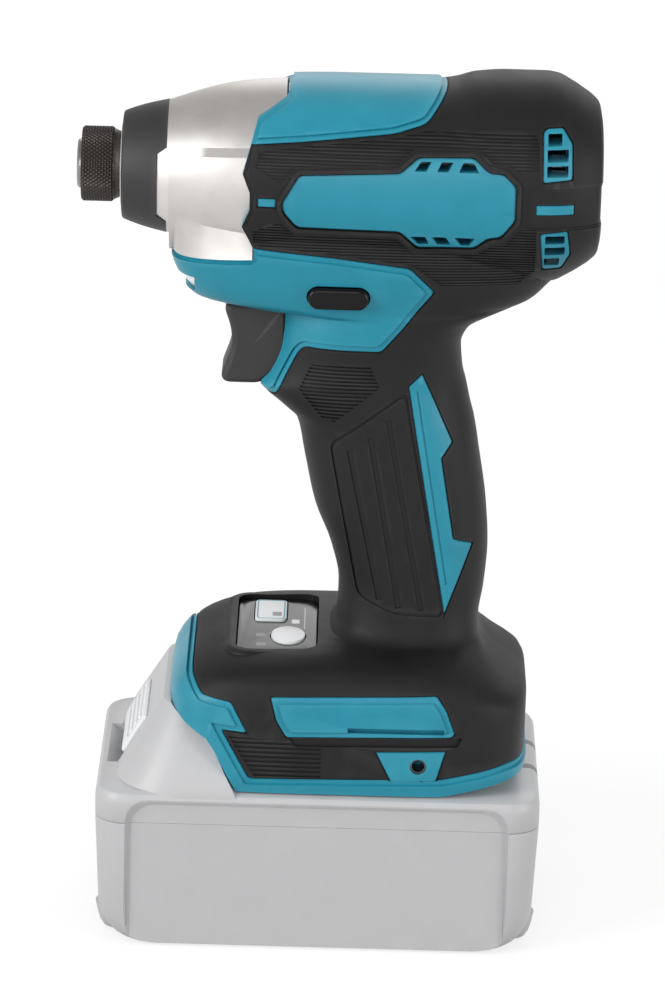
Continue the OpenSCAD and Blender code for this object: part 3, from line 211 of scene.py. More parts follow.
# %% One builder for all finishes
def finish(name, shade, pale, rough, grain=0.35, depth=0.02, metal=0.0, drift=9.0, stretch=(1, 1, 1),
           worn=0.0, coat=0.0, shine=0.5):
    """A Principled material: colours from shade to pale, grain size and depth in mm."""
    material = bpy.data.materials.new(name)
    material.use_nodes = True
    tree = material.node_tree
    shader = tree.nodes["Principled BSDF"]
    shader.inputs["Metallic"].default_value = metal
    shader.inputs["Coat Weight"].default_value = coat
    shader.inputs["Specular IOR Level"].default_value = shine
    place = tree.nodes.new("ShaderNodeTexCoord")
    turn = tree.nodes.new("ShaderNodeMapping")
    turn.inputs["Scale"].default_value = stretch
    tree.links.new(place.outputs["Object"], turn.inputs["Vector"])
    slow = tree.nodes.new("ShaderNodeTexNoise")
    slow.inputs["Scale"].default_value = 1 / (drift * MM)
    slow.inputs["Detail"].default_value = 4
    fine = tree.nodes.new("ShaderNodeTexNoise")
    fine.inputs["Scale"].default_value = 1 / (grain * MM)
    fine.inputs["Detail"].default_value = 3
    tree.links.new(place.outputs["Object"], slow.inputs["Vector"])
    tree.links.new(turn.outputs["Vector"], fine.inputs["Vector"])
    ramp = tree.nodes.new("ShaderNodeValToRGB")
    ramp.color_ramp.elements[0].position = 0.3
    ramp.color_ramp.elements[1].position = 0.7
    ramp.color_ramp.elements[0].color = (*shade, 1)
    ramp.color_ramp.elements[1].color = (*pale, 1)
    tree.links.new(slow.outputs["Fac"], ramp.inputs["Fac"])
    colour = ramp.outputs["Color"]
    if worn:
        shape = tree.nodes.new("ShaderNodeNewGeometry")
        edge = tree.nodes.new("ShaderNodeMapRange")
        edge.inputs["From Min"].default_value = 0.52
        edge.inputs["From Max"].default_value = 0.6
        edge.inputs["To Max"].default_value = worn
        tree.links.new(shape.outputs["Pointiness"], edge.inputs["Value"])
        rub = tree.nodes.new("ShaderNodeMix")
        rub.data_type = "RGBA"
        rub.inputs["B"].default_value = (*[min(1, 0.12 + 1.5 * c) for c in pale], 1)
        tree.links.new(edge.outputs["Result"], rub.inputs["Factor"])
        tree.links.new(colour, rub.inputs["A"])
        colour = rub.outputs["Result"]
    tree.links.new(colour, shader.inputs["Base Color"])
    gloss = tree.nodes.new("ShaderNodeMapRange")
    gloss.inputs["To Min"].default_value = rough[0]
    gloss.inputs["To Max"].default_value = rough[1]
    tree.links.new(slow.outputs["Fac"], gloss.inputs["Value"])
    tree.links.new(gloss.outputs["Result"], shader.inputs["Roughness"])
    bump = tree.nodes.new("ShaderNodeBump")
    bump.inputs["Distance"].default_value = depth * MM
    bump.inputs["Strength"].default_value = 1.0
    tree.links.new(fine.outputs["Fac"], bump.inputs["Height"])
    tree.links.new(bump.outputs["Normal"], shader.inputs["Normal"])
    return material


# %% The finishes
FINISH = {
    "teal_plastic": finish("teal_plastic", (0.012, 0.235, 0.33), (0.016, 0.26, 0.36), (0.34, 0.46),
                           grain=0.3, depth=0.012, worn=0.2, shine=0.4),
    "soft_grip": finish("soft_grip", (0.007, 0.0062, 0.0064), (0.0105, 0.0095, 0.0098), (0.48, 0.62),
                        grain=0.28, depth=0.03, worn=0.16, shine=0.28),
    "black_rubber": finish("black_rubber", (0.02, 0.0185, 0.0185), (0.026, 0.024, 0.024), (0.5, 0.62),
                           grain=0.4, depth=0.02, worn=0.2),
    "screw_steel": finish("screw_steel", (0.1, 0.1, 0.1), (0.16, 0.16, 0.16), (0.3, 0.45), metal=1.0),
    "cast_alloy": finish("cast_alloy", (0.56, 0.535, 0.515), (0.63, 0.605, 0.585), (0.42, 0.5), grain=0.22,
                         depth=0.014, metal=1.0, worn=0.15),
    "bronze": finish("bronze", (0.5, 0.36, 0.16), (0.6, 0.45, 0.22), (0.25, 0.4), metal=1.0),
    "tool_steel": finish("tool_steel", (0.28, 0.27, 0.265), (0.36, 0.35, 0.34), (0.25, 0.4), metal=1.0,
                         stretch=(8, 1, 1), depth=0.01),
    "dark_steel": finish("dark_steel", (0.035, 0.03, 0.028), (0.055, 0.048, 0.044), (0.32, 0.45), metal=0.8,
                         worn=0.3),
    "spring_steel": finish("spring_steel", (0.34, 0.34, 0.36), (0.42, 0.42, 0.44), (0.25, 0.35), metal=1.0),
    "bearing_steel": finish("bearing_steel", (0.58, 0.58, 0.6), (0.64, 0.64, 0.66), (0.12, 0.22), metal=1.0),
    "black_plastic": finish("black_plastic", (0.003, 0.0029, 0.0032), (0.0042, 0.004, 0.0044), (0.13, 0.2),
                            grain=0.3, depth=0.005, worn=0.03, shine=0.2),
    "lamination_steel": finish("lamination_steel", (0.16, 0.16, 0.17), (0.26, 0.26, 0.27), (0.35, 0.5),
                               metal=0.9, stretch=(6, 0.1, 0.1), grain=0.5, depth=0.05),
    "copper": finish("copper", (0.45, 0.17, 0.07), (0.58, 0.25, 0.11), (0.25, 0.35), metal=0.9,
                     stretch=(3, 0.3, 3), depth=0.05),
    "pale_plastic": finish("pale_plastic", (0.485, 0.485, 0.493), (0.505, 0.505, 0.513), (0.35, 0.48),
                           grain=0.3, depth=0.01),
    "board_green": finish("board_green", (0.02, 0.13, 0.06), (0.035, 0.18, 0.08), (0.25, 0.4), grain=1.2),
    "clear_lens": finish("clear_lens", (0.85, 0.87, 0.86), (0.9, 0.92, 0.91), (0.05, 0.12), depth=0.004),
    "white_plastic": finish("white_plastic", (0.72, 0.73, 0.74), (0.78, 0.79, 0.8), (0.32, 0.42),
                            depth=0.008),
    "cell_wrap": finish("cell_wrap", (0.02, 0.16, 0.24), (0.03, 0.2, 0.3), (0.25, 0.35)),
}
slot_of = {row["node"]: row["material_slot"] for row in frame["record"]["subparts"]}
for name, part in frame["nodes"].items():
    part.data.materials.clear()
    part.data.materials.append(FINISH[slot_of[name]])
print("finishes:", len(FINISH))

# %% [markdown]
# ## The moulded body as stacked sections
# A grip like this is designed as sections: an oval at each height of the foot and
# handle, and an oval at each station of the barrel. The real maker lofts a skin over
# them, and so does this cell: a grid primitive is wrapped through the ovals and closed.
# More ovals are put between the drawn ones on a curve that never overshoots them.

# %% Sizes of the body, in millimetres
spin_joint = [j for j in frame["record"]["behaviour"]["joints"] if j["name"] == "spindle_spin"][0]
AXIS_Z = spin_joint["pos_m"][2] / MM


def box_mm(node):
    """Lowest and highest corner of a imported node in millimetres."""
    low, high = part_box(node)
    return np.array(low) / MM, np.array(high) / MM


REAR_X = box_mm("grip_left")[1][0]
FOOT_Z = box_mm("housing_left")[0][2]
HUMP_X = REAR_X + 1
BARREL_HH, BARREL_HW, HUMP = 24.0, 28.4, 2.7
GUARD_Z = AXIS_Z - BARREL_HH - 32
FOOT_TOP = FOOT_Z + 34.5
FOOT_X0, FOOT_X1, FOOT_HW, GRIP_HW = -41.0, 53.3, 36.0, 17.8
SKIN, WALL, RISE, LEDGE, RIM = 1.2, 2.0, 0.6, 1.5, 1.7
STEP_X = -13.8
AROUND = 112


def grip_at(share):
    """Height of a share of the way from the foot to the guard."""
    return FOOT_TOP + share * (GUARD_Z - FOOT_TOP)


# Height, front, back, half width, squareness, lift per inset
core_rows = [
    (FOOT_Z, FOOT_X0 + 0.5, FOOT_X1 - 3, FOOT_HW - 1, 5, 0),
    (FOOT_Z + 5.2, FOOT_X0, FOOT_X1 - 1, FOOT_HW, 5, 0),
    (FOOT_TOP - 12, FOOT_X0 + 0.8, FOOT_X1 - 0.8, FOOT_HW, 4.8, -0.3),
    (FOOT_TOP - 6, FOOT_X0 + 4.4, FOOT_X1 - 8, FOOT_HW - 1, 4.4, -0.7),
    (FOOT_TOP - 2, FOOT_X0 + 10, FOOT_X1 - 12, FOOT_HW - 4, 3.8, -1),
    (FOOT_TOP, FOOT_X0 + 16, FOOT_X1 - 13.2, FOOT_HW - 9, 3.4, -1),
    (grip_at(0.022), 0.5, 39.6, GRIP_HW + 3.2, 3, -0.9),
    (grip_at(0.08), 2.2, 39.4, GRIP_HW + 0.9, 2.8, -0.4),
    (grip_at(0.2), 2.4, 40.5, GRIP_HW - 0.1, 2.6, 0),
    (grip_at(0.36), 0, 41.2, GRIP_HW - 0.1, 2.6, 0),
    (grip_at(0.526), -4.5, 40.4, GRIP_HW + 0.2, 2.6, 0),
    (grip_at(0.72), -7.5, 38.3, GRIP_HW + 0.1, 2.6, 0),
    (grip_at(0.867), -9.8, 36.5, GRIP_HW - 0.2, 2.6, 0),
    (GUARD_Z - 5, -14, 35.4, GRIP_HW - 0.3, 2.6, 0.3),
    (GUARD_Z + 1, -20, 34, GRIP_HW - 0.3, 2.6, 0.1),
    (GUARD_Z + 4.3, -17.3, 33.1, GRIP_HW - 0.2, 2.6, 0),
    (GUARD_Z + 12, -14.2, 32.4, GRIP_HW + 0.5, 2.6, 0),
    (GUARD_Z + 17, -13.8, 34.6, GRIP_HW + 1.2, 2.5, 0.4),
    (GUARD_Z + 21.6, -14.2, 43.2, GRIP_HW + 1.7, 2.4, 0.9),
    (GUARD_Z + 23, -28, 46.8, GRIP_HW + 1.8, 2.4, 1),
    (GUARD_Z + 25, -37.2, 50.4, GRIP_HW + 2.2, 2.7, 1),
    (GUARD_Z + 29, -40.2, 54.2, GRIP_HW + 3.4, 3, 0.4),
    (GUARD_Z + 34, -42.4, 58.4, GRIP_HW + 4.8, 3, 0),
    (GUARD_Z + 44, -43.8, 61, GRIP_HW + 6.9, 3, 0)]
# Station, half width, half height, squareness, shift per inset
barrel_rows = [
    (-26, BARREL_HW - 2, BARREL_HH - 1, 2.2, 0),
    (STEP_X - 4, BARREL_HW - 1.3, BARREL_HH - 0.5, 2.2, 0),
    (0, BARREL_HW - 0.4, BARREL_HH, 2.2, 0),
    (HUMP_X - 42, BARREL_HW, BARREL_HH, 2.2, 0),
    (HUMP_X - 38.5, BARREL_HW, BARREL_HH + 0.2 * HUMP, 2.2, 0),
    (HUMP_X - 33.5, BARREL_HW, BARREL_HH + 0.75 * HUMP, 2.2, 0),
    (HUMP_X - 25.5, BARREL_HW, BARREL_HH + HUMP, 2.2, 0),
    (HUMP_X - 15.5, BARREL_HW - 0.2, BARREL_HH + HUMP, 2.2, -0.1),
    (HUMP_X - 12.2, BARREL_HW - 0.7, BARREL_HH + HUMP - 0.5, 2.2, -0.2),
    (HUMP_X - 9.4, BARREL_HW - 1.5, BARREL_HH + HUMP - 1.9, 2.2, -0.4),
    (HUMP_X - 6.2, BARREL_HW - 2.9, BARREL_HH + HUMP - 4.0, 2.3, -0.6),
    (HUMP_X - 3, BARREL_HW - 4.9, BARREL_HH + HUMP - 6.3, 2.3, -0.8),
    (REAR_X - 0.5, BARREL_HW - 6.6, BARREL_HH + HUMP - 8.2, 2.4, -0.9),
    (REAR_X, BARREL_HW - 8.8, BARREL_HH + HUMP - 10.6, 2.5, -1)]


print("sections:", len(core_rows), "of foot and grip,", len(barrel_rows), "of the barrel")


# %% Lofting
def between(rows, steps):
    """The rows with more of them between, on a smooth curve that never overshoots."""
    table = np.array(rows, float)
    gap = np.diff(table[:, 0])[:, None]
    slope = np.diff(table, axis=0) / gap
    before, after = slope[:-1], slope[1:]
    w0, w1 = 2 * gap[1:] + gap[:-1], gap[1:] + 2 * gap[:-1]
    agree = before * after > 0
    before, after = np.where(agree, before, 1), np.where(agree, after, 1)
    mean = np.where(agree, (w0 + w1) / (w0 / before + w1 / after), 0)
    tangent = np.vstack([slope[:1], mean, slope[-1:]])
    found = []
    for k in range(len(table) - 1):
        for t in np.arange(steps) / steps:
            found.append((2 * t**3 - 3 * t**2 + 1) * table[k] + (t**3 - 2 * t**2 + t) * gap[k] * tangent[k]
                         + (3 * t**2 - 2 * t**3) * table[k + 1] + (t**3 - t**2) * gap[k] * tangent[k + 1])
    return found + [table[-1]]


def oval(a, b, power, count):
    """Points of a superellipse with half axes a and b."""
    t = 2 * math.pi * np.arange(count) / count
    c, s = np.cos(t), np.sin(t)
    return a * np.sign(c) * np.abs(c) ** (2 / power), b * np.sign(s) * np.abs(s) ** (2 / power)


def loft(name, rings):
    """A closed skin through a stack of rings, wrapped from a grid primitive."""
    rings = np.array(rings, float) * MM
    along, around = rings.shape[:2]
    clear()
    bpy.ops.mesh.primitive_grid_add(x_subdivisions=around, y_subdivisions=along - 1, size=1)
    piece = bpy.context.object
    piece.name = name
    wrapped = np.concatenate([rings, rings[:, :1]], axis=1)
    piece.data.vertices.foreach_set("co", wrapped.ravel())
    edit(piece)
    bpy.ops.mesh.remove_doubles(threshold=1e-7)
    bpy.ops.mesh.fill_holes(sides=0)
    bpy.ops.mesh.normals_make_consistent(inside=False)
    clear()
    return piece


def carve(piece, tool, how="DIFFERENCE", keep=False):
    """A boolean with another piece, which is then deleted unless it is kept."""
    modify(piece, "BOOLEAN", operation=how, object=tool, solver="MANIFOLD")
    if not keep:
        bpy.data.objects.remove(tool)


def copied(piece, name):
    """A copy with a mesh of its own."""
    twin = piece.copy()
    twin.data = piece.data.copy()
    twin.name = name
    bpy.context.scene.collection.objects.link(twin)
    return twin


# %% The whole body at a depth
CAP_RINGS = (0.94, 0.8, 0.6, 0.4, 0.2, 0.02)


def body_skin(inset):
    """Foot, grip, yoke and barrel drawn in by inset on every side."""
    core = []
    for z, front, back, half, power, lift in between(core_rows, 4):
        x, y = oval((back - front) / 2 - inset, half - inset, power, AROUND)
        core.append(np.column_stack([x + (front + back) / 2, y, np.full(AROUND, z + lift * inset)]))
    barrel = []
    for x, half, tall, power, shift in between(barrel_rows, 5):
        z, y = oval(tall - inset, half - inset, power, AROUND)
        barrel.append(np.column_stack([np.full(AROUND, x + shift * inset), y, AXIS_Z + z]))
    middle = np.array([barrel[-1][0][0], 0, AXIS_Z])
    barrel += [middle + (barrel[-1] - middle) * share for share in CAP_RINGS]
    piece = loft("body", core)
    carve(piece, loft("barrel", barrel), "UNION")
    return piece


skins = {}


def at_depth(inset):
    """The body drawn in by inset, made once and kept for later cuts."""
    if inset not in skins:
        skins[inset] = body_skin(inset)
    return skins[inset]


def sunk(tool, depth):
    """A cutting tool that stops at the given depth under the body's face."""
    carve(tool, at_depth(depth), keep=True)
    return tool


print("body faces:", len(at_depth(0).data.polygons))

# %% [markdown]
# ## Outlines drawn in side view
# The bare plates of the housing are cut out of the soft skin along outlines that are
# straight in side view. A circle primitive gets the outline's corners, its corners are
# rounded by a vertex bevel, and the face is extruded right across the tool.


# %% Side view outlines
def extruded(name, corners, way, corner, segments):
    """A flat outline in millimetres, its corners rounded where asked, extruded along a way."""
    clear()
    bpy.ops.mesh.primitive_circle_add(vertices=len(corners), fill_type="NGON")
    piece = bpy.context.object
    piece.name = name
    for point, place in zip(piece.data.vertices, corners):
        point.co = [c * MM for c in place]
    edit(piece)
    if corner:
        bpy.ops.mesh.bevel(offset=corner * MM, segments=segments, affect="VERTICES", clamp_overlap=True)
        bpy.ops.mesh.select_all(action="SELECT")
    bpy.ops.mesh.extrude_region_move(TRANSFORM_OT_translate={"value": [c * MM for c in way]})
    bpy.ops.mesh.select_all(action="SELECT")
    bpy.ops.mesh.normals_make_consistent(inside=False)
    clear()
    return piece


def prism(name, outline, y0=-60, y1=60, corner=0.0):
    """An [x, z] outline extruded along y."""
    return extruded(name, [(x, y0, z) for x, z in outline], (0, y1 - y0, 0), corner, 4)


def flat(name, outline, z0, z1, corner=0.0):
    """An [x, y] outline extruded upwards."""
    return extruded(name, [(x, y, z0) for x, y in outline], (0, 0, z1 - z0), corner, 8)


def joined(name, pieces):
    """Several pieces as one mesh."""
    pick(pieces[0])
    for other in pieces[1:]:
        other.select_set(True)
    bpy.ops.object.join()
    pieces[0].name = name
    return pieces[0]


def grown(outline, by):
    """The outline with every edge moved out by so much."""
    p = np.array(outline, float)
    e = np.roll(p, -1, axis=0) - p
    n = np.column_stack([e[:, 1], -e[:, 0]]) / np.linalg.norm(e, axis=1)[:, None]
    turn = np.sum(p[:, 0] * np.roll(p[:, 1], -1) - p[:, 1] * np.roll(p[:, 0], -1))
    n = n * np.sign(turn)
    m = np.roll(n, 1, axis=0)
    return p + by * (n + m) / (1 + np.sum(n * m, axis=1))[:, None]


def lifted(z0, points):
    """Outline points with z given above z0."""
    return [(x, z0 + z) for x, z in points]


# %% Plates
top_plate = lifted(AXIS_Z, [(-30, 40), (-30, 11.4), (-9.2, 13.2), (13.4, 15.6), (21.4, 17.8), (27.1, 24.2),
                            (28, 40)])
yoke_plate = lifted(AXIS_Z, [(-60, -15.4), (-21.5, -15.6), (-0.9, -17.2), (18.3, -19.6), (24.6, -26),
                             (16.3, -37.3), (11.6, -43), (-7.9, -43), (-9.4, -44.5), (-15.3, -57),
                             (-60, -60)])
blade_plate = [(19.1, grip_at(1.05)), (22.3, grip_at(1.096)), (30.6, grip_at(0.825)), (27.9, grip_at(0.765)),
               (31.7, grip_at(0.44)), (36.7, grip_at(0.413)), (30.1, grip_at(0.145))]
foot_plate = lifted(FOOT_Z, [(-60, 54.5), (FOOT_X0 + 6, 54.5), (FOOT_X0 + 6, 28.5), (FOOT_X0 + 8.8, 25.2),
                             (FOOT_X0 + 16.5, 24.3), (FOOT_X0 + 20.6, 16.5), (FOOT_X0 + 14, 16.9),
                             (FOOT_X0 + 21.4, 3.8), (30, 4.8), (FOOT_X1 - 6, 8), (FOOT_X1 + 5, 8),
                             (FOOT_X1 + 5, -5), (-60, -5)])
flank_plate = lifted(FOOT_Z, [(-14.2, 26.2), (28.6, 27.4), (31, 24), (33.5, 17.4), (32.5, 16.6), (-10, 15.7),
                              (-12.6, 20)])
hook_plate = lifted(FOOT_Z, [(13.4, 12.1), (31.2, 12.6), (28.9, 4.5), (17.4, 4.2)])
upper_vent = lifted(AXIS_Z, [(HUMP_X - 16.4, 5.3), (HUMP_X - 16.6, 17), (HUMP_X - 15.6, 17.8),
                             (HUMP_X - 11.8, 17.9), (HUMP_X - 9.4, 14.3), (HUMP_X - 9.2, 5.9)])
lower_vent = lifted(AXIS_Z, [(HUMP_X - 16.6, -8.4), (HUMP_X - 9.9, -7.7), (HUMP_X - 8.9, -14.4),
                             (HUMP_X - 10.9, -18.7), (HUMP_X - 15.6, -19)])
front_mark = lifted(AXIS_Z, [(-20.6, -3.2), (-16.3, -3.2), (-16.3, -1.2), (-20.6, -1.2)])
rear_mark = lifted(AXIS_Z, [(HUMP_X - 17.9, -3.1), (HUMP_X - 8.5, -3.1), (HUMP_X - 8.5, -0.7),
                            (HUMP_X - 17.9, -0.7)])
flank_panel = lifted(AXIS_Z, [(-14.5, -2), (-10.4, 5.1), (14.9, 6.4), (19.4, 10.3), (33.5, 10.7), (37.6, 7),
                              (41, 7), (44.2, 4), (44.2, -4.9), (40.8, -9.4), (37.5, -9.9), (34.3, -12.7),
                              (19.8, -13.2), (15.4, -8.7), (-10.7, -8.4), (-14.1, -4.5)])
# Outline and corner size of each plate
level_plates = [(top_plate, 1.5), (yoke_plate, 1.5), (blade_plate, 0.4), (foot_plate, 0.8),
                (flank_plate, 0.8), (hook_plate, 0.3), (upper_vent, 0.6), (lower_vent, 0.6),
                (front_mark, 0.2), (rear_mark, 0.2), (flank_panel, 1.0)]
raised_plates = [(top_plate, 1.2), (yoke_plate, 1.2), (foot_plate, 0.6), (flank_plate, 0.5)]


def plates(rows, grow):
    """Prisms over the given plates, each grown by so much."""
    return joined("plates", [prism("plate", grown(o, grow), corner=c) for o, c in rows])


print("plates:", len(level_plates))

# %% [markdown]
# ## Openings
# The shells leave room for the hammer case, the trigger, the lever, the work light, the
# mode panel, the vents, the hook inserts and the pack's tongue. Each opening is a simple
# solid that is taken away from both the shell and the skin.


# %% Simple solids
def block(name, low, high, corner=0.0):
    """A box between two corners in millimetres, with its edges rounded where asked."""
    clear()
    bpy.ops.mesh.primitive_cube_add(size=1)
    piece = bpy.context.object
    piece.name = name
    low, high = np.array(low, float) * MM, np.array(high, float) * MM
    for point in piece.data.vertices:
        point.co = (low + high) / 2 + np.array(point.co) * (high - low)
    if corner:
        edit(piece)
        bpy.ops.mesh.bevel(offset=corner * MM, segments=4, affect="EDGES")
    clear()
    return piece


def turned(name, profile, steps=128):
    """A closed profile of [radius, x] points spun about the barrel's axis."""
    clear()
    bpy.ops.mesh.primitive_circle_add(vertices=len(profile), fill_type="NOTHING")
    piece = bpy.context.object
    piece.name = name
    for point, (r, x) in zip(piece.data.vertices, profile):
        point.co = (x * MM, 0, (AXIS_Z + r) * MM)
    edit(piece)
    bpy.ops.mesh.spin(steps=steps, angle=2 * math.pi, center=(0, 0, AXIS_Z * MM), axis=(1, 0, 0))
    bpy.ops.mesh.select_all(action="SELECT")
    bpy.ops.mesh.remove_doubles(threshold=1e-6)
    bpy.ops.mesh.dissolve_degenerate(threshold=1e-6)
    bpy.ops.mesh.select_all(action="SELECT")
    bpy.ops.mesh.normals_make_consistent(inside=False)
    clear()
    return piece


def bar(name, x, z, r, y0, y1, sides=48):
    """A round bar along y."""
    t = 2 * math.pi * np.arange(sides) / sides
    return prism(name, np.column_stack([x + r * np.cos(t), z + r * np.sin(t)]), y0, y1)


# %% Sizes of the openings
case_low, case_high = box_mm("hammer_case")
CASE_X = -44.3
CASE_R, CASE_REAR_R, TAIL_R = 17.0, 23.4, 22.2


def case_profile(grow):
    """Outside of the hammer case behind its nose, as [radius, x]."""
    return [(CASE_R + grow, CASE_X), (CASE_R + 1.8 + grow, CASE_X + 5.2),
            (CASE_R + 3.8 + grow, CASE_X + 11.6), (CASE_REAR_R - 1.2 + grow, CASE_X + 17.9),
            (CASE_REAR_R - 0.4 + grow, CASE_X + 24.6), (CASE_REAR_R + grow, STEP_X - 0.4),
            (TAIL_R + grow, STEP_X)]


LEVER_X, LEVER_Z, LEVER_L, LEVER_H = 0.3, AXIS_Z - BARREL_HH - 4, 15.6, 5.6
TRIGGER_Z, TRIGGER_H, TRIGGER_HW = GUARD_Z + 0.3, 21.6, 7.8
PANEL_X0, PANEL_X1, PANEL_HW, PANEL_Z, PANEL_T = FOOT_X0 + 17.1, -2.7, 21.6, FOOT_TOP - 3.3, 2.6
LENS_Z, LENS_H, LENS_HW, LENS_X1 = AXIS_Z - 30, 4.2, 19.0, -36.6
HOOK_X, HOOK_Z = 24.3, FOOT_Z + 8.4
ROOF_Z = FOOT_Z + 15
BAY_HW, BAY_END, LIP_W, LIP_H, LIP_Z = FOOT_HW - 8.6, FOOT_X1 - 6.8, 3.7, 4.5, FOOT_Z + 1.5
ROOM, LENS_FIT = 0.35, 0.12
BOX_END = box_mm("bearing_box")[1][0]
print("hammer case from", CASE_X, "mm, bearing box to", round(BOX_END, 1), "mm")


# %% Vents and rounded outlines
def pill(x, z, length, height, count=24):
    """Outline of a slot with round ends."""
    t = math.pi * np.arange(count + 1) / count - math.pi / 2
    half = (length - height) / 2
    right = np.column_stack([x + half + height / 2 * np.cos(t), z + height / 2 * np.sin(t)])
    left = np.column_stack([x - half - height / 2 * np.cos(t), z - height / 2 * np.sin(t)])
    return np.vstack([right, left])


# Corners of the flank vents: lower left, upper left, upper right, lower right; then the rear vents
UPPER_SLOTS = [(18.5, 20.2, 22.9, 21.6), (24.2, 25.4, 28.4, 27.1), (29.7, 30.8, 33.5, 34.9)]
LOWER_SLOTS = [(19.9, 17.9, 21.8, 22.8), (24.8, 23.4, 27, 28.4), (30.8, 29, 34.4, 33.1)]
REAR_SLOTS = [(-15.5, -11.9, 15.4, 1.42), (-15.6, -10.2, 11.7, 1.47), (-15.6, -10.2, 7.95, 1.38),
              (-15.4, -10.4, -10, 1.15), (-15.4, -10.2, -13.3, 1.15), (-15.4, -11.5, -16.6, 1.15)]


def vent_slots():
    """All vents that the fan draws and blows through, as one tool."""
    rows = []
    for slots, z0, z1 in ((UPPER_SLOTS, 7.2, 9.6), (LOWER_SLOTS, -12.2, -10)):
        rows += [lifted(AXIS_Z, [(q[0], z0), (q[1], z1), (q[2], z1), (q[3], z0)]) for q in slots]
    for x0, x1, z, half in REAR_SLOTS:
        rows.append(lifted(AXIS_Z, [(HUMP_X + x0, z - half), (HUMP_X + x0, z + half), (HUMP_X + x1, z + half),
                                    (HUMP_X + x1, z - half)]))
    return joined("vents", [prism("vent", row, corner=0.35) for row in rows])


def rectangle(x0, x1, half, grow=0.0):
    """Outline of a rectangle in plan, about y = 0."""
    x0, x1, half = x0 - grow, x1 + grow, half + grow
    return [(x0, -half), (x1, -half), (x1, half), (x0, half)]


def round_ring(x0, x1, half, corner, z, inset=0.0, count=14):
    """A rounded rectangle in plan at height z."""
    r = max(corner - inset, 0.4)
    found = []
    for k, (sx, sy) in enumerate(((1, 1), (-1, 1), (-1, -1), (1, -1))):
        t = math.pi / 2 * (k + np.arange(count) / (count - 1))
        cx = (x0 + x1) / 2 + sx * ((x1 - x0) / 2 - corner)
        cy = sy * (half - corner)
        found.append(np.column_stack([cx + r * np.cos(t), cy + r * np.sin(t), np.full(count, z)]))
    return np.vstack(found)


# %% Openings
bay = block("bay", (-80, -BAY_HW, FOOT_Z - 5), (BAY_END, BAY_HW, ROOF_Z))
for s in (-1, 1):
    inner, outer = sorted((s * (BAY_HW - LIP_W), s * (BAY_HW + 1)))
    carve(bay, block("lip", (FOOT_X0 + 21, inner, LIP_Z), (BAY_END - 2, outer, LIP_Z + LIP_H)))
# Place in side view and seat of each screw; some heads sink through the skin, and it lines their holes
SCREWS = [(27, GUARD_Z + 7, 9), (-32.5, AXIS_Z - 27, 7), (33, grip_at(0.26), 8), (9, grip_at(0.52), 9),
          (FOOT_X1 - 11, FOOT_TOP - 11, 16), (FOOT_X0 + 8, FOOT_TOP - 10, 15),
          (REAR_X - 5.6, AXIS_Z - 17, 8), (REAR_X - 5.6, AXIS_Z + 17, 8)]
SCREW_L = 18
LINED = [SCREWS[k] for k in (0, 3, 4, 6, 7)]
HEAD_R, BOSS_R, CUP_R, LINING_R = 3.65, 4.4, 4.9, 4.3
HOOK_R, INSERT_R, THREAD_R = 2.15, 2.9, 1.65
openings = [
    turned("case_bore", [(0, CASE_X - 5)] + case_profile(0.2)
           + [(TAIL_R + 0.2, BOX_END - 3), (0, BOX_END - 3)]),
    block("trigger_way", (-90, -TRIGGER_HW - ROOM, TRIGGER_Z - ROOM),
          (-4.4, TRIGGER_HW + ROOM, TRIGGER_Z + TRIGGER_H + ROOM)),
    prism("lever_way", pill(LEVER_X, LEVER_Z, LEVER_L + 2 * ROOM, LEVER_H + 2 * ROOM)),
    flat("panel_seat", rectangle(PANEL_X0, PANEL_X1, PANEL_HW, 0.12), PANEL_Z - 0.05, PANEL_Z + 20, 4.1),
    block("board_seat", (PANEL_X0 + 3, -16, ROOF_Z + 4), (PANEL_X1 - 3, 16, PANEL_Z + 1)),
    block("lens_seat", (-90, -LENS_HW - LENS_FIT, LENS_Z - LENS_FIT),
          (LENS_X1, LENS_HW + LENS_FIT, LENS_Z + LENS_H + LENS_FIT)),
    joined("hook_holes", [bar("hook", HOOK_X, HOOK_Z, HOOK_R, -60, -FOOT_HW + 0.9),
                          bar("hook", HOOK_X, HOOK_Z, HOOK_R, FOOT_HW - 0.9, 60)]),
    joined("hook_seats", [bar("hook", HOOK_X, HOOK_Z, INSERT_R + 0.05, -FOOT_HW + 0.8, -FOOT_HW + 6.6),
                          bar("hook", HOOK_X, HOOK_Z, INSERT_R + 0.05, FOOT_HW - 6.6, FOOT_HW - 0.8)]),
    joined("head_holes", [bar("head", x, z, HEAD_R, seat, 60) for x, z, seat in SCREWS]),
    bay, vent_slots()]
print("openings:", len(openings))

# %% [markdown]
# ## What the side view cuts away
# The collar behind the hammer case ends in a zigzag, and the foot is raked in front and
# behind. These outlines trim the shell and the skin alike.

# %% Trims
collar = lifted(AXIS_Z, [(-90, 60), (STEP_X + 0.2, 60), (STEP_X + 0.2, 21.9), (-21.2, 17.4), (-22.4, 13.1),
                         (-24.7, 4.8), (-22.8, 0), (-22.8, -4.6), (-24.7, -9.3), (-21.6, -16), (-21.6, -18.2),
                         (-22.4, -18.9), (-43, -20.9), (-90, -24)])
foot_rake = lifted(FOOT_Z, [(-90, -12), (-90, 21), (FOOT_X0 + 0.5, 20.5), (FOOT_X0 + 4.2, 17.4),
                            (FOOT_X0 + 10.2, 14), (FOOT_X0 + 12.2, 11.2), (FOOT_X0 + 18.7, -1),
                            (FOOT_X0 + 25, -12)])
heel_rake = lifted(FOOT_Z, [(29, -12), (29, 0), (30, 0), (FOOT_X1 + 2, 5), (FOOT_X1 + 4, -12)])
trims = joined("trims", [prism("collar", collar), prism("foot_rake", foot_rake),
                         prism("heel_rake", heel_rake)])
print("trim faces:", len(trims.data.polygons))

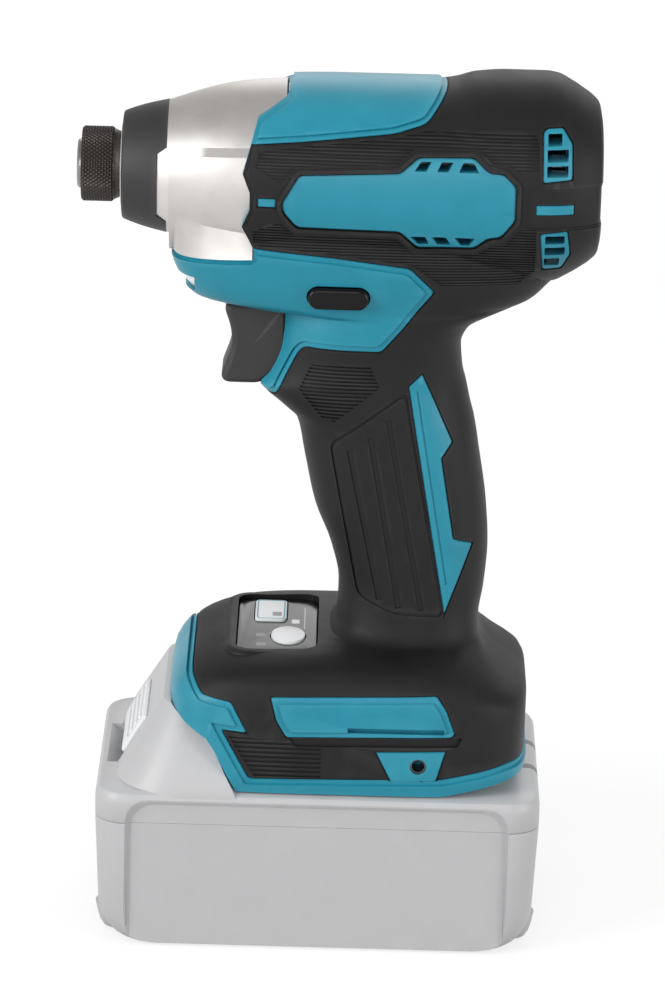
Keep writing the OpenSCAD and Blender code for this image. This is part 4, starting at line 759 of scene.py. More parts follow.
# %% [markdown]
# ## The hollow of the shell
# The real housing is a shell about two millimetres thick. The hollow is the same loft
# drawn in, kept above the bay's roof, with a bore for the motor.

# %% Hollow
SHELL = SKIN + WALL
TAIL_X = BOX_END - 8.2
grip_hollow = []
for z, front, back, half, power, lift in between(core_rows[1:], 3):
    x, y = oval((back - front) / 2 - SHELL, half - SHELL, power, 64)
    grip_hollow.append(np.column_stack([x + (front + back) / 2, y, np.full(64, z + lift * SHELL)]))
hollow = loft("hollow", grip_hollow)
carve(hollow, block("below", (-100, -60, 0), (100, 60, ROOF_Z + 3)))
carve(hollow, block("behind", (25, -60, GUARD_Z + 10), (100, 60, AXIS_Z + 40)))
carve(hollow, block("above", (-100, -60, AXIS_Z - 18), (100, 60, AXIS_Z + 60)))
MOTOR_R, BEARING_R = BARREL_HH - SHELL, 8.2
motor_bore = turned("motor_bore", [(0, TAIL_X - 1), (MOTOR_R, TAIL_X - 1), (MOTOR_R, REAR_X - 9.5),
                                   (BEARING_R, REAR_X - 9.5), (BEARING_R, REAR_X - 3.7),
                                   (0, REAR_X - 3.7)], 96)
carve(hollow, motor_bore, "UNION")
carve(hollow, joined("bosses", [bar("boss", x, z, BOSS_R, -40, 40) for x, z, seat in SCREWS]))
carve(hollow, joined("cups", [bar("cup", x, z, CUP_R, seat - 1.5, 40) for x, z, seat in LINED]))
print("hollow faces:", len(hollow.data.polygons))

# %% [markdown]
# ## The teal housing
# Each half is moulded in coloured plastic first. Where the skin will not cover it, the
# plastic comes up level with the skin, and a step inside each plate's edge rises a
# little further. The order is the moulder's: shell, level plates, raised plates.

# %% Shading and dressing
def smooth(piece, angle=35):
    """Smooth shading that keeps edges sharper than the angle."""
    pick(piece)
    bpy.ops.object.shade_smooth_by_angle(angle=math.radians(angle))


def plain_caps(piece, axis):
    """Plain shading on faces that lie square to an axis, where smooth shading would streak."""
    for face in piece.data.polygons:
        if abs(face.normal[axis]) > 0.9995:
            face.use_smooth = False


def dressed(piece, body, slot, *nodes):
    """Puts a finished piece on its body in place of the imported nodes."""
    piece.data.materials.clear()
    piece.data.materials.append(FINISH[slot])
    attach(piece, body)
    if nodes:
        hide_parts(*nodes)


# %% Housing
shell = copied(at_depth(SKIN), "shell")
for depth, grow in ((0.16, 0.0), (0.0, -0.2)):
    level = copied(at_depth(depth), "level")
    carve(level, plates(level_plates, grow), "INTERSECT")
    carve(shell, level, "UNION")
for rise, ledge in ((0.32, LEDGE - 0.1), (0.5, LEDGE), (RISE, LEDGE + 0.15)):
    raised = copied(at_depth(-rise), "raised")
    carve(raised, plates(raised_plates, -ledge), "INTERSECT")
    carve(shell, raised, "UNION")
carve(shell, trims, keep=True)
carve(shell, hollow)
for tool in openings:
    carve(shell, tool, keep=True)
carve(shell, flat("rim_room", rectangle(PANEL_X0, PANEL_X1, PANEL_HW, 3.24), PANEL_Z - 3.04,
                  PANEL_Z + 20, 7.2))
carve(shell, joined("lining_room", [bar("room", x, z, LINING_R + 0.05, seat, 60) for x, z, seat in LINED]))
carve(shell, joined("screw_holes", [bar("hole", x, z, 2.06, seat - SCREW_L - 1, seat + 0.5)
                                    for x, z, seat in SCREWS]))
carve(shell, joined("hook_slots", [block("slot", (5.8, y, FOOT_Z + 17.3), (30.8, y + 20, FOOT_Z + 18.9))
                                   for y in (-FOOT_HW - 18, FOOT_HW - 2)]))
print("shell faces:", len(shell.data.polygons))

# %% [markdown]
# ## The soft skin
# The second shot of the mould covers what the plates leave free. It carries the fine
# horizontal ribs of the barrel, the rib patch under the trigger, the flutes of the
# handle and raised rims round the flank panel and the mode panel. Ribs are cut by thin
# slabs that stop at a skin drawn in by the rib's depth, so they follow the surface.

# %% Skin
GROOVE = 0.22
skin = copied(at_depth(0), "skin")
for rise, wide in ((0.34, RIM), (RISE, RIM - 0.3)):
    rim = copied(at_depth(-rise), "rim")
    carve(rim, prism("rim_zone", grown(flank_panel, wide), corner=1.2), "INTERSECT")
    carve(skin, rim, "UNION")
carve(skin, at_depth(SKIN - 0.05), keep=True)
rim_rows = [(-3, 3.2), (PANEL_T - 0.6, 3.2), (PANEL_T, 3.05), (PANEL_T + 0.5, 2.65), (PANEL_T + 0.8, 2.1),
            (PANEL_T + 0.95, 1.4)]
panel_rim = [round_ring(PANEL_X0 - g, PANEL_X1 + g, PANEL_HW + g, 4 + g, PANEL_Z + z) for z, g in rim_rows]
carve(skin, loft("panel_rim", panel_rim), "UNION")
carve(skin, plates(level_plates, GROOVE))
carve(skin, sunk(plates(level_plates, GROOVE + 0.22), 0.2))
linings = joined("linings", [bar("lining", x, z, LINING_R, seat + 0.05, 60) for x, z, seat in LINED])
carve(linings, at_depth(0), "INTERSECT", keep=True)
carve(skin, linings, "UNION")
carve(skin, trims, keep=True)
for tool in openings:
    carve(skin, tool, keep=True)
print("plain skin faces:", len(skin.data.polygons))


# %% Ribs and grooves
def ribs(zone, z0, z1, pitch, depth, share=0.5):
    """Slabs over a side view zone that reach down to the given depth."""
    slabs = [block("slab", (-100, -60, z), (100, 60, z + share * pitch)) for z in np.arange(z0, z1, pitch)]
    tool = joined("ribs", slabs)
    carve(tool, prism("zone", zone), "INTERSECT")
    return sunk(tool, depth)


def line(a, b, wide):
    """Outline of a straight groove from a to b in side view."""
    a, b = np.array(a, float), np.array(b, float)
    along = (b - a) / np.linalg.norm(b - a)
    across = np.array([-along[1], along[0]]) * wide / 2
    return [a - across, b - across, b + across, a + across]


upper_ribs = lifted(AXIS_Z, [(-21.6, 6.6), (-20.6, 10.4), (-9, 12.2), (13.6, 14.7), (22.4, 16.6),
                             (48.4, 16.6), (49.6, 15), (50, 7.6), (45.8, 7.6), (42, 9.2), (38.6, 9.2),
                             (34.4, 12.9), (18.6, 12.5), (14.2, 8.6), (-11.3, 7.3), (-15, 3)])
lower_ribs = lifted(AXIS_Z, [(-22, -10.4), (-15, -7.4), (-11.4, -10.6), (14.6, -10.9), (19, -15.3),
                             (35, -14.9), (38.6, -12.2), (41.8, -11.8), (45.8, -7.2), (49.8, -7.2),
                             (50, -20), (46, -24), (26.2, -24), (18.8, -18.4), (-0.9, -16), (-21.5, -14.4)])
trigger_ribs = lifted(GUARD_Z, [(-6.1, 8.4), (8.9, 9.1), (11.5, 3), (0.2, -6.6), (-2.8, -6.3),
                                (-9.2, 1.7)])
foot_ribs = lifted(FOOT_Z, [(-25, 15.2), (-1, 14.4), (-1, 4.8), (-18.2, 4.8)])
shelf = lifted(FOOT_Z, [(-9.3, 15.3), (33.2, 16.2), (35.6, 16.6), (34.4, 13.9), (-7.8, 13.2)])
belt = lifted(AXIS_Z, [(HUMP_X - 21, 3.6), (HUMP_X + 6, 3.6), (HUMP_X + 6, -7.4), (HUMP_X - 21, -7.4)])
palm = lifted(GUARD_Z, [(-0.6, -12.8), (18.1, 1.6), (29.7, -58.4), (17, -57.8), (7.5, -53.8)])
flutes = [lifted(GUARD_Z, ends) for ends in (((4.2, -14), (13, -54.5)), ((9.6, -10.5), (18.1, -56.4)),
                                             ((14, -5.5), (24, -56.8)))]
carve(skin, ribs(upper_ribs, AXIS_Z + 3.2, AXIS_Z + 24, 0.8, 0.28))
carve(skin, ribs(lower_ribs, AXIS_Z - 24.2, AXIS_Z - 7, 0.8, 0.28))
carve(skin, ribs(trigger_ribs, GUARD_Z - 6.8, GUARD_Z + 9, 1.0, 0.5))
carve(skin, ribs(foot_ribs, FOOT_Z + 4.8, FOOT_Z + 15.2, 1.25, 0.4))
carve(skin, sunk(prism("shelf", shelf, corner=0.6), 0.8))
for grow, depth in ((0.0, 0.15), (-0.6, 0.3)):
    carve(skin, sunk(prism("belt", grown(belt, grow), corner=1.2), depth))
ring = prism("palm", grown(palm, 0.4), corner=2.2)
carve(ring, prism("palm", grown(palm, -0.4), corner=1.6))
carve(skin, sunk(ring, 0.4))
carve(skin, sunk(joined("flutes", [prism("flute", line(a, b, 1.5)) for a, b in flutes]), 0.3))
for piece in (shell, skin):
    for wide, depth in ((0.95, 0.3), (0.5, 0.6)):
        carve(piece, sunk(prism("lead", grown(collar, wide)), depth))
carve(shell, sunk(prism("crease", line((21.2, grip_at(1.03)), (30.3, grip_at(0.26)), 0.5)), 0.25))
print("skin faces:", len(skin.data.polygons))

# %% Halves
SEAM = 0.06
LEFT = block("left", (-100, -80, 0), (100, -SEAM / 2, 300))
RIGHT = block("right", (-100, SEAM / 2, 0), (100, 80, 300))
for knife, ending in ((LEFT, "left"), (RIGHT, "right")):
    for whole, slot, name in ((shell, "teal_plastic", "housing_"), (skin, "soft_grip", "grip_")):
        half = copied(whole, name + ending + "_shell")
        carve(half, knife, "INTERSECT", keep=True)
        smooth(half)
        plain_caps(half, 0)
        dressed(half, "housing", slot, name + ending)
        print(half.name, len(half.data.polygons))
for spare in [shell, skin, trims, LEFT, RIGHT] + openings:
    bpy.data.objects.remove(spare)

# %% [markdown]
# ## Cast nose
# The hammer case is a die casting: turned inside, smooth outside, with a skirt below that
# runs into the yoke and a short raised bar on each flank. The profile is spun about the
# barrel's axis, and the skirt runs from a crease on it down to the yoke's own outline, flush.

# %% Hammer case
NOSE_X, NOSE_R, BUSH_R = case_low[0], 11.0, 8.2
POCKET_X = box_mm("ring_gear")[0][0] + 0.5
RING_R = (box_mm("ring_gear")[1][2] - box_mm("ring_gear")[0][2]) / 2
KEY_L, KEY_MID = 2.4, AXIS_Z - 1.6
key_outline = lifted(KEY_MID, [(CASE_X + 1, -9.8), (CASE_X - 0.4, -9.8), (CASE_X - KEY_L, -8.4),
                               (CASE_X - KEY_L, 8.4), (CASE_X - 0.4, 9.8), (CASE_X + 1, 9.8)])
outside = [(r, x) for x, r in between([(x, r) for r, x in case_profile(0)[:-1]], 6)]
nose = [(BUSH_R + 0.02, NOSE_X), (NOSE_R - 0.6, NOSE_X), (NOSE_R, NOSE_X + 0.6), (NOSE_R, CASE_X)]
inside = [(TAIL_R, STEP_X), (TAIL_R, case_high[0]), (RING_R + 0.02, case_high[0]),
          (RING_R + 0.02, POCKET_X - 0.6), (RING_R - 1.1, POCKET_X - 0.6), (RING_R - 1.1, CASE_X + 17.9),
          (CASE_R + 1.4, CASE_X + 11.6), (CASE_R - 0.6, CASE_X + 5.2), (CASE_R - 2.4, CASE_X + 1.5),
          (CASE_R - 2.4, CASE_X + 0.3), (BUSH_R + 0.02, CASE_X + 0.3)]
casting = turned("hammer_case_casting", nose + outside + inside, 160)
print("turned case faces:", len(casting.data.polygons))

# %% Skirt, flank bars and keys
SKIRT_X0, SKIRT_X1, BAR_X0 = -43.6, -21.9, -36.6
WALL_STEPS = np.linspace(0, 1, 7)
reach, wide_at = np.array([x for r, x in outside]), np.array([r for r, x in outside])
yoke = np.array(between(core_rows, 4))


def yoke_half(x, z):
    """Half the yoke's width at a place in side view."""
    front, back, half, power = (np.interp(z, yoke[:, 0], yoke[:, k]) for k in (1, 2, 3, 4))
    across = abs(2 * x - front - back) / (back - front)
    return half * max(0.01, 1 - across ** power) ** (1 / power)


drape, bars = [], ([], [])
for x in np.linspace(SKIRT_X0, SKIRT_X1, 40):
    r = np.interp(x, reach, wide_at)
    crease = np.interp(x, [SKIRT_X0, -41.5, -34.5, SKIRT_X1], [-6.4, -7.6, -11, -12.6])
    hem = np.interp(x, [-43, -22.4], [-20.75, -18.75])
    y = math.sqrt(r * r - crease * crease)
    low = yoke_half(x, AXIS_Z + hem) - 0.12
    wall = [(low + (y - 0.15 - low) * t, AXIS_Z + hem + (crease - hem) * t) for t in WALL_STEPS]
    drape.append([(x, -w, z) for w, z in wall] + [(x, w, z) for w, z in wall[::-1]])
for x in np.linspace(BAR_X0, -21.0, 32):
    r = np.interp(x, reach, wide_at)
    rise = 0.85 * min(1, (x - BAR_X0) / 2.2)
    z = 7.2 + 0.07 * (x - BAR_X0)
    t0, t1 = math.asin(z / r), math.asin((z + 2.1) / r)
    for side, found in zip((-1, 1), bars):
        found.append([(x, side * k * math.cos(t), AXIS_Z + k * math.sin(t))
                      for k, t in ((r - 1.2, t0), (r + rise, t0), (r + 0.03, t1), (r - 1.2, t1))])
skirt = loft("skirt", drape)
carve(skirt, turned("inside", [(0, CASE_X)] + [(r - 0.6, x) for r, x in outside] + [(0, STEP_X - 0.4)]))
carve(casting, skirt, "UNION")
for rows in bars:
    carve(casting, loft("bar", rows), "UNION")
keys = turned("keys", [(CASE_R - 0.02, CASE_X + 0.1), (CASE_R - 0.02, CASE_X),
                       (CASE_R - 0.95, CASE_X - KEY_L - 0.5), (NOSE_R - 0.2, CASE_X - KEY_L - 0.5),
                       (NOSE_R - 0.2, CASE_X + 0.1)], 160)
carve(keys, prism("key_zone", key_outline), "INTERSECT")
carve(casting, keys, "UNION")
smooth(casting, 30)
dressed(casting, "housing", "cast_alloy", "hammer_case")
print("case faces:", len(casting.data.polygons))

# %% Bumper
bumper_outside = [(CASE_R + 0.12, CASE_X - 0.05), (CASE_R + 0.05, CASE_X - 0.5), (CASE_R - 0.75, CASE_X - 4),
                  (CASE_R - 1.4, CASE_X - 6.4), (CASE_R - 2.25, CASE_X - 9), (CASE_R - 2.9, NOSE_X + 1.3),
                  (CASE_R - 3.15, NOSE_X + 0.75), (CASE_R - 3.55, NOSE_X + 0.45),
                  (CASE_R - 4.2, NOSE_X + 0.35)]
bumper_inside = [(NOSE_R + 0.05, NOSE_X + 0.35), (NOSE_R + 0.05, CASE_X - 0.05)]
guard = turned("bumper_ring", bumper_outside + bumper_inside, 160)
carve(guard, prism("notch", grown(key_outline, 0.1)))
smooth(guard, 30)
dressed(guard, "housing", "black_rubber", "bumper")
print("bumper faces:", len(guard.data.polygons))

# %% [markdown]
# ## Knurled sleeve
# The sleeve that frees the bit is knurled so that it can be pulled with oily fingers. A
# wrapped grid gets its radius from two crossed sets of grooves, which is just what a
# knurling wheel presses into the steel; the bore and the plain ring behind are turned.

# %% Sleeve
sleeve_low, sleeve_high = box_mm("bit_sleeve")
SLEEVE_R = (sleeve_high[2] - sleeve_low[2]) / 2
ANVIL_R, BORE_R = 6.4, 7.5
KNURLS = 56
KNURL_L = 8.3
turn = 2 * math.pi * np.arange(KNURLS * 8) / (KNURLS * 8)


def groove(phase):
    """Depth of a knurl groove over its phase, between 0 and 1."""
    off = np.abs((phase + math.pi) % (2 * math.pi) - math.pi)
    return np.clip(1 - off / 1.5, 0, 1)


rings = []
for x in np.linspace(0, KNURL_L, 60):
    edge = np.clip(min(x, KNURL_L - x) / 0.5, 0, 1)
    cut = np.maximum(groove(KNURLS * (turn + 0.08 * x)), groove(KNURLS * (turn - 0.08 * x)))
    r = SLEEVE_R - 0.5 * (1 - edge) - 0.26 * cut
    rings.append(np.column_stack([np.full(len(turn), sleeve_low[0] + x), r * np.sin(turn),
                                  AXIS_Z + r * np.cos(turn)]))
sleeve = loft("bit_sleeve_knurled", rings)
back = sleeve_high[0]
BALL_X = (box_mm("bit_balls")[0][0] + box_mm("bit_balls")[1][0]) / 2
knurl_end = sleeve_low[0] + KNURL_L
plain = [(0, knurl_end - 0.4), (SLEEVE_R - 0.55, knurl_end - 0.4), (SLEEVE_R - 0.5, knurl_end + 0.1),
         (SLEEVE_R - 1.2, back), (0, back)]
bore = [(0, sleeve_low[0] - 1), (BORE_R, sleeve_low[0] - 1), (BORE_R, BALL_X - 1.2),
        (ANVIL_R + 0.1, BALL_X - 1.2), (ANVIL_R + 0.1, BALL_X + 1.2), (ANVIL_R + 1.7, BALL_X + 1.2),
        (ANVIL_R + 1.7, back + 1), (0, back + 1)]
carve(sleeve, turned("plain", plain), "UNION")
carve(sleeve, turned("bore", bore))
smooth(sleeve, 25)
dressed(sleeve, "bit_sleeve", slot_of["bit_sleeve"], "bit_sleeve")
print("sleeve faces:", len(sleeve.data.polygons))

# %% [markdown]
# ## Trigger, lever and work light
# The trigger is moulded with a hollow for the finger. Its outline in side view is lofted
# across the tool and drawn in towards both sides, which rounds its edges. The lever is a
# glossy bar that is pushed through from either side, rounded by a bevel. The lens closes
# the nose under the case and is cut from the body itself, so that it sits flush.

# %% Trigger
TRIGGER_X0, TRIGGER_X1, STEM_R = -30.0, -12.4, 2.4
STEM_END = box_mm("trigger")[1][0]


def rounded(outline, radii, steps=8):
    """The outline with each corner drawn as a curve of its own size."""
    p = np.array(outline, float)
    t = np.linspace(0, 1, steps)[:, None]
    found = []
    for k, c in enumerate(radii):
        back, ahead = p[k - 1] - p[k], p[(k + 1) % len(p)] - p[k]
        a, b = p[k] + c * back / np.linalg.norm(back), p[k] + c * ahead / np.linalg.norm(ahead)
        found.append((1 - t) ** 2 * a + 2 * t * (1 - t) * p[k] + t ** 2 * b)
    return np.vstack(found)


trigger_line = lifted(TRIGGER_Z, [(TRIGGER_X0 - 0.3, 0), (TRIGGER_X0 + 3.9, 11.8),
                                  (TRIGGER_X0 + 0.4, TRIGGER_H), (TRIGGER_X1, TRIGGER_H), (TRIGGER_X1, 6),
                                  (TRIGGER_X1 - 6, 0)])
profile = rounded(trigger_line, [3.6, 5.2, 3.4, 4.0, 3.4, 3.2])
# Distance from the side and how far the outline is drawn in there
slices = [(0, 1.5), (0.2, 0.85), (0.6, 0.38), (1.2, 0.1), (1.9, 0)]
stations = [(-TRIGGER_HW + d, e) for d, e in slices] + [(TRIGGER_HW - d, e) for d, e in slices[::-1]]
rings = [np.insert(grown(profile, -e), 1, y, axis=1) for y, e in stations]
near, far = rings[0].mean(axis=0), rings[-1].mean(axis=0)
rings = ([near + k * (rings[0] - near) for k in (0.02, 0.7, 0.9)] + rings
         + [far + k * (rings[-1] - far) for k in (0.9, 0.7, 0.02)])
pull = loft("trigger_pull_piece", rings)
clear()
bpy.ops.mesh.primitive_cylinder_add(vertices=48, radius=STEM_R * MM, depth=(STEM_END - TRIGGER_X1 + 1) * MM)
stem = bpy.context.object
for point in stem.data.vertices:
    x, y, z = point.co
    point.co = ((STEM_END + TRIGGER_X1 - 1) / 2 * MM + z, y, (GUARD_Z + 11) * MM - x)
edit(stem)
bpy.ops.mesh.normals_make_consistent(inside=False)
clear()
carve(pull, stem, "UNION")
smooth(pull, 30)
plain_caps(pull, 1)
dressed(pull, "trigger", "black_rubber", "trigger")
print("trigger faces:", len(pull.data.polygons))

# %% Direction lever
lever_low, lever_high = box_mm("direction_lever")
lever = prism("direction_lever_bar", pill(LEVER_X, LEVER_Z, LEVER_L, LEVER_H), lever_low[1], lever_high[1])
modify(lever, "BEVEL", width=0.9 * MM, segments=4, limit_method="ANGLE", angle_limit=math.radians(40))
smooth(lever, 30)
dressed(lever, "direction_lever", slot_of["direction_lever"], "direction_lever")
print("lever faces:", len(lever.data.polygons))

# %% Work light lens
glass = copied(at_depth(0.2), "led_lens_glass")
lens_zone = block("lens_zone", (-90, -LENS_HW, LENS_Z), (LENS_X1 - LENS_FIT, LENS_HW, LENS_Z + LENS_H))
carve(glass, lens_zone, "INTERSECT")
smooth(glass, 30)
dressed(glass, "housing", slot_of["led_lens"], "led_lens")
print("lens faces:", len(glass.data.polygons))

# %% [markdown]
# ## Mode panel
# A glossy black plate sits in a raised rim of the skin, with a square and an oval button.
# The printed marks are plain shapes: a border and a square on the square button, three
# lamp windows and a dividing line on the plate.


# %% Panel and buttons
def soft_top(piece, width):
    """Rounds the edges of a flat piece."""
    modify(piece, "BEVEL", width=width * MM, segments=3, limit_method="ANGLE", angle_limit=math.radians(50))
    smooth(piece, 30)


def middle(node):
    """Middle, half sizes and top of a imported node."""
    low, high = box_mm(node)
    return (low + high) / 2, (high - low) / 2, high[2]


def plan_box(mid, half, grow=0.0):
    """Outline in plan of a box round a middle."""
    return [(mid[0] + sx * (half[0] + grow), mid[1] + sy * (half[1] + grow))
            for sx, sy in ((-1, -1), (1, -1), (1, 1), (-1, 1))]


def plan_oval(mid, half, grow=0.0):
    """Outline in plan of an oval round a middle."""
    t = 2 * math.pi * np.arange(64) / 64
    return np.column_stack([mid[0] + (half[0] + grow) * np.cos(t), mid[1] + (half[1] + grow) * np.sin(t)])


mode_mid, mode_half, mode_top = middle("mode_button")
light_mid, light_half, light_top = middle("light_button")
plate = flat("mode_panel_plate", rectangle(PANEL_X0, PANEL_X1, PANEL_HW), PANEL_Z, PANEL_Z + PANEL_T, 4)
soft_top(plate, 0.35)
carve(plate, flat("mode_way", plan_box(mode_mid, mode_half, 0.3), PANEL_Z - 1, PANEL_Z + 9, 1.6))
carve(plate, flat("light_way", plan_oval(light_mid, light_half, 0.3), PANEL_Z - 1, PANEL_Z + 9))
smooth(plate, 30)
dressed(plate, "housing", slot_of["mode_panel"], "mode_panel")
mode_key = flat("mode_button_key", plan_box(mode_mid, mode_half), mode_top - PANEL_T, mode_top, 1.5)
soft_top(mode_key, 0.3)
dressed(mode_key, "mode_button", slot_of["mode_button"], "mode_button")
light_key = flat("light_button_key", plan_oval(light_mid, light_half), light_top - PANEL_T, light_top)
soft_top(light_key, 0.3)
dressed(light_key, "light_button", slot_of["light_button"], "light_button")
print("panel faces:", len(plate.data.polygons))

# %% Marks
PLATE_TOP = PANEL_Z + PANEL_T


def mark(name, outline, top, corner=0.0):
    """A thin printed shape, just proud of the face under it."""
    return flat(name, outline, top - 0.2, top + 0.02, corner)


border = mark("mode_button_border", plan_box(mode_mid, mode_half, -0.45), mode_top, 1.1)
carve(border, flat("inside", plan_box(mode_mid, mode_half, -0.85), mode_top - 1, mode_top + 1, 0.8))
dressed(border, "mode_button", "teal_plastic")
dot = mark("mode_button_dot", plan_box(mode_mid + np.array([1.6, -3.6, 0]), (1.2, 1.5)), mode_top, 0.2)
dressed(dot, "mode_button", "screw_steel")
lamps = [mark("lamp", plan_box(place, (1.25, 1.35)), PLATE_TOP, 0.2)
         for place in ((-17.6, -8.2), (-17.4, -15.4))]
dressed(joined("panel_lamps_dim", lamps), "housing", "screw_steel")
lit_lamp = mark("panel_lamp_lit", plan_box((-8.6, 3.0), (1.0, 1.5)), PLATE_TOP, 0.2)
dressed(lit_lamp, "housing", "white_plastic")
rule = mark("panel_rule", plan_box((-6.2, 5.6), (0.16, 8.5)), PLATE_TOP)
dressed(rule, "housing", "pale_plastic")
print("marks on the panel: 5")

# %% [markdown]
# ## Hook inserts
# A belt hook can be screwed to either flank of the foot. Plastic would not hold the thread,
# so a steel tube is set into each flank. A bar with a bore taken out of it is enough.

# %% Hook inserts
tubes = []
for y0, y1 in ((-FOOT_HW + 0.9, -FOOT_HW + 6.5), (FOOT_HW - 6.5, FOOT_HW - 0.9)):
    tube = bar("tube", HOOK_X, HOOK_Z, INSERT_R, y0, y1)
    carve(tube, bar("thread", HOOK_X, HOOK_Z, THREAD_R, y0 - 1, y1 + 1))
    tubes.append(tube)
lining = joined("hook_linings", tubes)
smooth(lining)
dressed(lining, "housing", "screw_steel", "hook_inserts")
print("hook linings:", len(tubes))

# %% [markdown]
# ## Battery pack
# The pack is two mouldings with a seam between them. Each is a stack of rounded rectangles
# whose first and last rows are drawn in, which rounds the edges as a mould does. A wide
# panel is sunk into both flanks, and the front block slopes up to the foot. A small foot
# round each screw carries the pack where its ends curve up.

# %% Pack
pack_low, pack_high = box_mm("battery_case_lower")
PACK_X0, PACK_X1, PACK_HW, SPLIT = pack_low[0], pack_high[0], pack_high[1], pack_high[2]
PACK_H = FOOT_Z - 0.5
PACK_CORNER, PACK_WALL = 8.5, 3
END_X, END_Z, END_DRAFT = 9.0, 11.0, 1.6


def end_inset(z):
    """How far the pack's ends draw in at height z: a slight draft and a round lower edge."""
    low = max(0.0, (END_Z - z) / END_Z)
    return END_DRAFT * max(0.0, 1 - z / SPLIT) + END_X * (1 - math.sqrt(max(0.0, 1 - low * low)))


def pack_body(name, rows):
    """The pack's plan at each height, drawn in by each inset."""
    return loft(name, [round_ring(PACK_X0 + end_inset(z), PACK_X1 - end_inset(z), PACK_HW, PACK_CORNER, z, e)
                       for z, e in rows])


def side_panels(z0, z1):
    """Tools for the sunk panel in both flanks, in steps for a soft edge."""
    outline = [(PACK_X0 + 8.4, -8), (PACK_X1 - 8.4, -8), (PACK_X1 - 8.4, 40.4), (PACK_X0 + 8.4, 40.4)]
    tools = []
    for grow, deep in ((0.3, 0.3), (-0.1, 0.6), (-0.5, 0.9), (-0.9, 1.2)):
        for y0, y1 in ((-PACK_HW - 20, -PACK_HW + deep), (PACK_HW - deep, PACK_HW + 20)):
            tool = prism("panel", grown(outline, grow), y0, y1, corner=6)
            carve(tool, block("slice", (-100, -100, z0), (100, 100, z1)), "INTERSECT")
            tools.append(tool)
    return tools


print("pack:", PACK_X1 - PACK_X0, "mm long")

# %% Pack's lower case
FOOT_ROWS = ((0.3, 3.6), (0.6, 4.1), (2, 5.0), (4, 5.6), (7, 6.2))
lower_rows = [(0, 2.4), (0.35, 1.5), (0.8, 0.85), (1.4, 0.4), (2.2, 0.1), (3.2, 0), (4.4, 0), (5.6, 0),
              (7, 0), (9, 0), (11, 0), (18, 0), (SPLIT - 0.5, 0), (SPLIT - 0.15, 0.1), (SPLIT - 0.01, 0.35)]
lower = pack_body("battery_case_lower_shell", lower_rows)
room_rows = [(z, PACK_WALL) for z in (2, 2.6, 3.4, 4.4, 5.6, 7, 9, 11, SPLIT + 1)]
carve(lower, pack_body("room", room_rows))
for tool in side_panels(-10, SPLIT + 1):
    carve(lower, tool)
feet = [(x, y) for x in (PACK_X0 + 6.4, PACK_X1 - 6.4) for y in (-23, 23)]
for x, y in feet:
    carve(lower, loft("foot", [round_ring(x - r, x + r, r, r - 0.01, z, 0, 12) + np.array([0, y, 0])
                               for z, r in FOOT_ROWS]), "UNION")
for x, y in feet:
    carve(lower, flat("head_hole", plan_oval((x, y), (2.8, 2.8)), -1, 3))
smooth(lower, 30)
dressed(lower, "battery", slot_of["battery_case_lower"], "battery_case_lower")
print("lower case faces:", len(lower.data.polygons))

# %% Pack's upper case
SLOPE_FOOT, SLOPE_TOP = (PACK_X0 + 2.2, PACK_H - 5), (FOOT_X0 - 1.5, FOOT_Z + 19.8)
slope = math.atan2(SLOPE_TOP[1] - SLOPE_FOOT[1], SLOPE_TOP[0] - SLOPE_FOOT[0])
slope_mid = ((SLOPE_FOOT[0] + SLOPE_TOP[0]) / 2, (SLOPE_FOOT[1] + SLOPE_TOP[1]) / 2)


def on_slope(piece):
    """Moves a piece drawn flat about the origin on to the pack's front slope."""
    c, s = math.cos(slope), math.sin(slope)
    for point in piece.data.vertices:
        x, y, z = point.co
        point.co = (slope_mid[0] * MM + x * c - z * s, y, slope_mid[1] * MM + x * s + z * c)
    return piece


upper = pack_body("battery_case_upper_shell", [(SPLIT + 0.06, 0.35), (SPLIT + 0.2, 0.1), (SPLIT + 0.55, 0),
                                               (PACK_H - 3, 0), (PACK_H - 1.6, 0.3), (PACK_H - 0.6, 1),
                                               (PACK_H, 2.4)])
front_rows = []
for share, half, corner in ((0, 37.3, 17), (0.15, 37, 16), (0.3, 36, 15), (0.5, 33.6, 13), (0.7, 30.8, 11),
                            (0.88, 28, 9), (0.96, 26.6, 8), (1, 25.6, 7.4)):
    x = SLOPE_FOOT[0] + share * (SLOPE_TOP[0] - SLOPE_FOOT[0])
    front_rows.append((SLOPE_FOOT[1] + share * (SLOPE_TOP[1] - SLOPE_FOOT[1]), x, half, corner))
front_rings = [round_ring(x, 20, half, corner, z) for z, x, half, corner in between(front_rows, 3)]
front_block = loft("front_block", front_rings)
carve(front_block, prism("rake", grown(foot_rake, -0.45)), "INTERSECT")
carve(upper, front_block, "UNION")
TONGUE_X0, TONGUE_X1, LIP_TOP = FOOT_X0 + 17, BAY_END - 0.6, LIP_Z + LIP_H
TONGUE_HW, RAIL_HW = BAY_HW - LIP_W - ROOM, BAY_HW - 0.4
tongue = block("tongue", (TONGUE_X0, -TONGUE_HW, PACK_H - 1), (TONGUE_X1, TONGUE_HW, LIP_TOP + 1))
carve(upper, tongue, "UNION")
rails = block("rails", (TONGUE_X0, -RAIL_HW, LIP_TOP + 0.3), (TONGUE_X1, RAIL_HW, ROOF_Z - 0.4))
carve(upper, rails, "UNION")
room = pack_body("room", [(SPLIT - 1, PACK_WALL), (PACK_H - 2, PACK_WALL)])
carve(room, on_slope(block("floor", (-16, -20, -10.5), (40, 20, 40))))
carve(upper, room)
for tool in side_panels(SPLIT - 1, 60):
    carve(upper, tool)
for y in (-9, 9):
    carve(upper, block("blade_way", (29, y - 1.6, PACK_H - 3), (90, y + 1.6, ROOF_Z + 1)))
RELEASE_L, RELEASE_HW, RELEASE_TRAVEL = 12.0, 14.0, 4.0
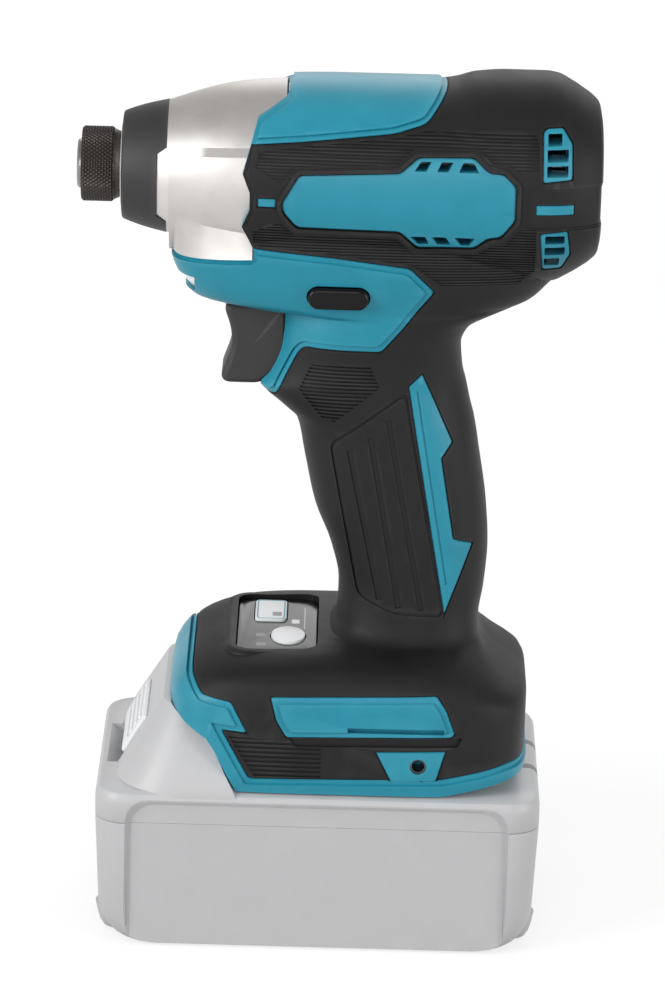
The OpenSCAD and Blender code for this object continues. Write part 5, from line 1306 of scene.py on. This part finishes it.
carve(upper, on_slope(block("release_way", (-RELEASE_L / 2 - RELEASE_TRAVEL - ROOM, -RELEASE_HW - ROOM, -3.3),
                            (RELEASE_L / 2 + ROOM, RELEASE_HW + ROOM, 20))))
carve(upper, on_slope(block("spring_way", (-10, -RELEASE_HW + 2.5, -7.5), (5, RELEASE_HW - 2.5, 0))))
smooth(upper, 30)
dressed(upper, "battery", slot_of["battery_case_upper"], "battery_case_upper")
print("upper case faces:", len(upper.data.polygons))

# %% Release button
release = block("release", (-RELEASE_L / 2, -RELEASE_HW, -3), (RELEASE_L / 2, RELEASE_HW, 0.9), 0.7)
for x in (-3.4, -1.2, 1.0, 3.2):
    ridge = block("ridge", (x, -RELEASE_HW + 2.2, 0.5), (x + 1.1, RELEASE_HW - 2.2, 1.35), 0.25)
    carve(release, ridge, "UNION")
carve(release, block("catch", (2, -RELEASE_HW + 3, -7), (4.5, RELEASE_HW - 3, -2.5)), "UNION")
release.name = "release_button_key"
on_slope(release)
smooth(release, 30)
dressed(release, "release_button", slot_of["release_button"], "release_button")
for spare in skins.values():
    bpy.data.objects.remove(spare)
print("release faces:", len(release.data.polygons))

# %% [markdown]
# ## Springs
# Four wound springs give way when a piece is pulled or pressed. The coils of the packed
# model are right, so each is copied, its doubles merged, and put on its body in place of
# the imported node.

# %% Springs
SPRINGS = {"hammer_spring": ("spindle", "hammer_recoil"), "sleeve_spring": ("anvil", "sleeve_pull"),
           "trigger_spring": ("housing", "trigger_pull"), "release_springs": ("battery", "release_press")}
joints = {row["name"]: row for row in frame["record"]["behaviour"]["joints"]}
for node, (body, joint) in SPRINGS.items():
    coil = bpy.data.objects.new(node + "_coil", frame["nodes"][node].data.copy())
    bpy.context.scene.collection.objects.link(coil)
    edit(coil)
    bpy.ops.mesh.remove_doubles(threshold=1e-6)
    clear()
    smooth(coil, 40)
    dressed(coil, body, slot_of[node], node)
    push = np.array(joints[joint]["axis"], float)
    push /= np.linalg.norm(push)
    places = np.array([point.co for point in coil.data.vertices], float)
    along = places @ push
    places[along.argmax()].tolist()
    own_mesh(coil)

# %% Sizes and finish
low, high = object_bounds()
print("visual box:", [round(c / MM, 1) for c in low], [round(c / MM, 1) for c in high])
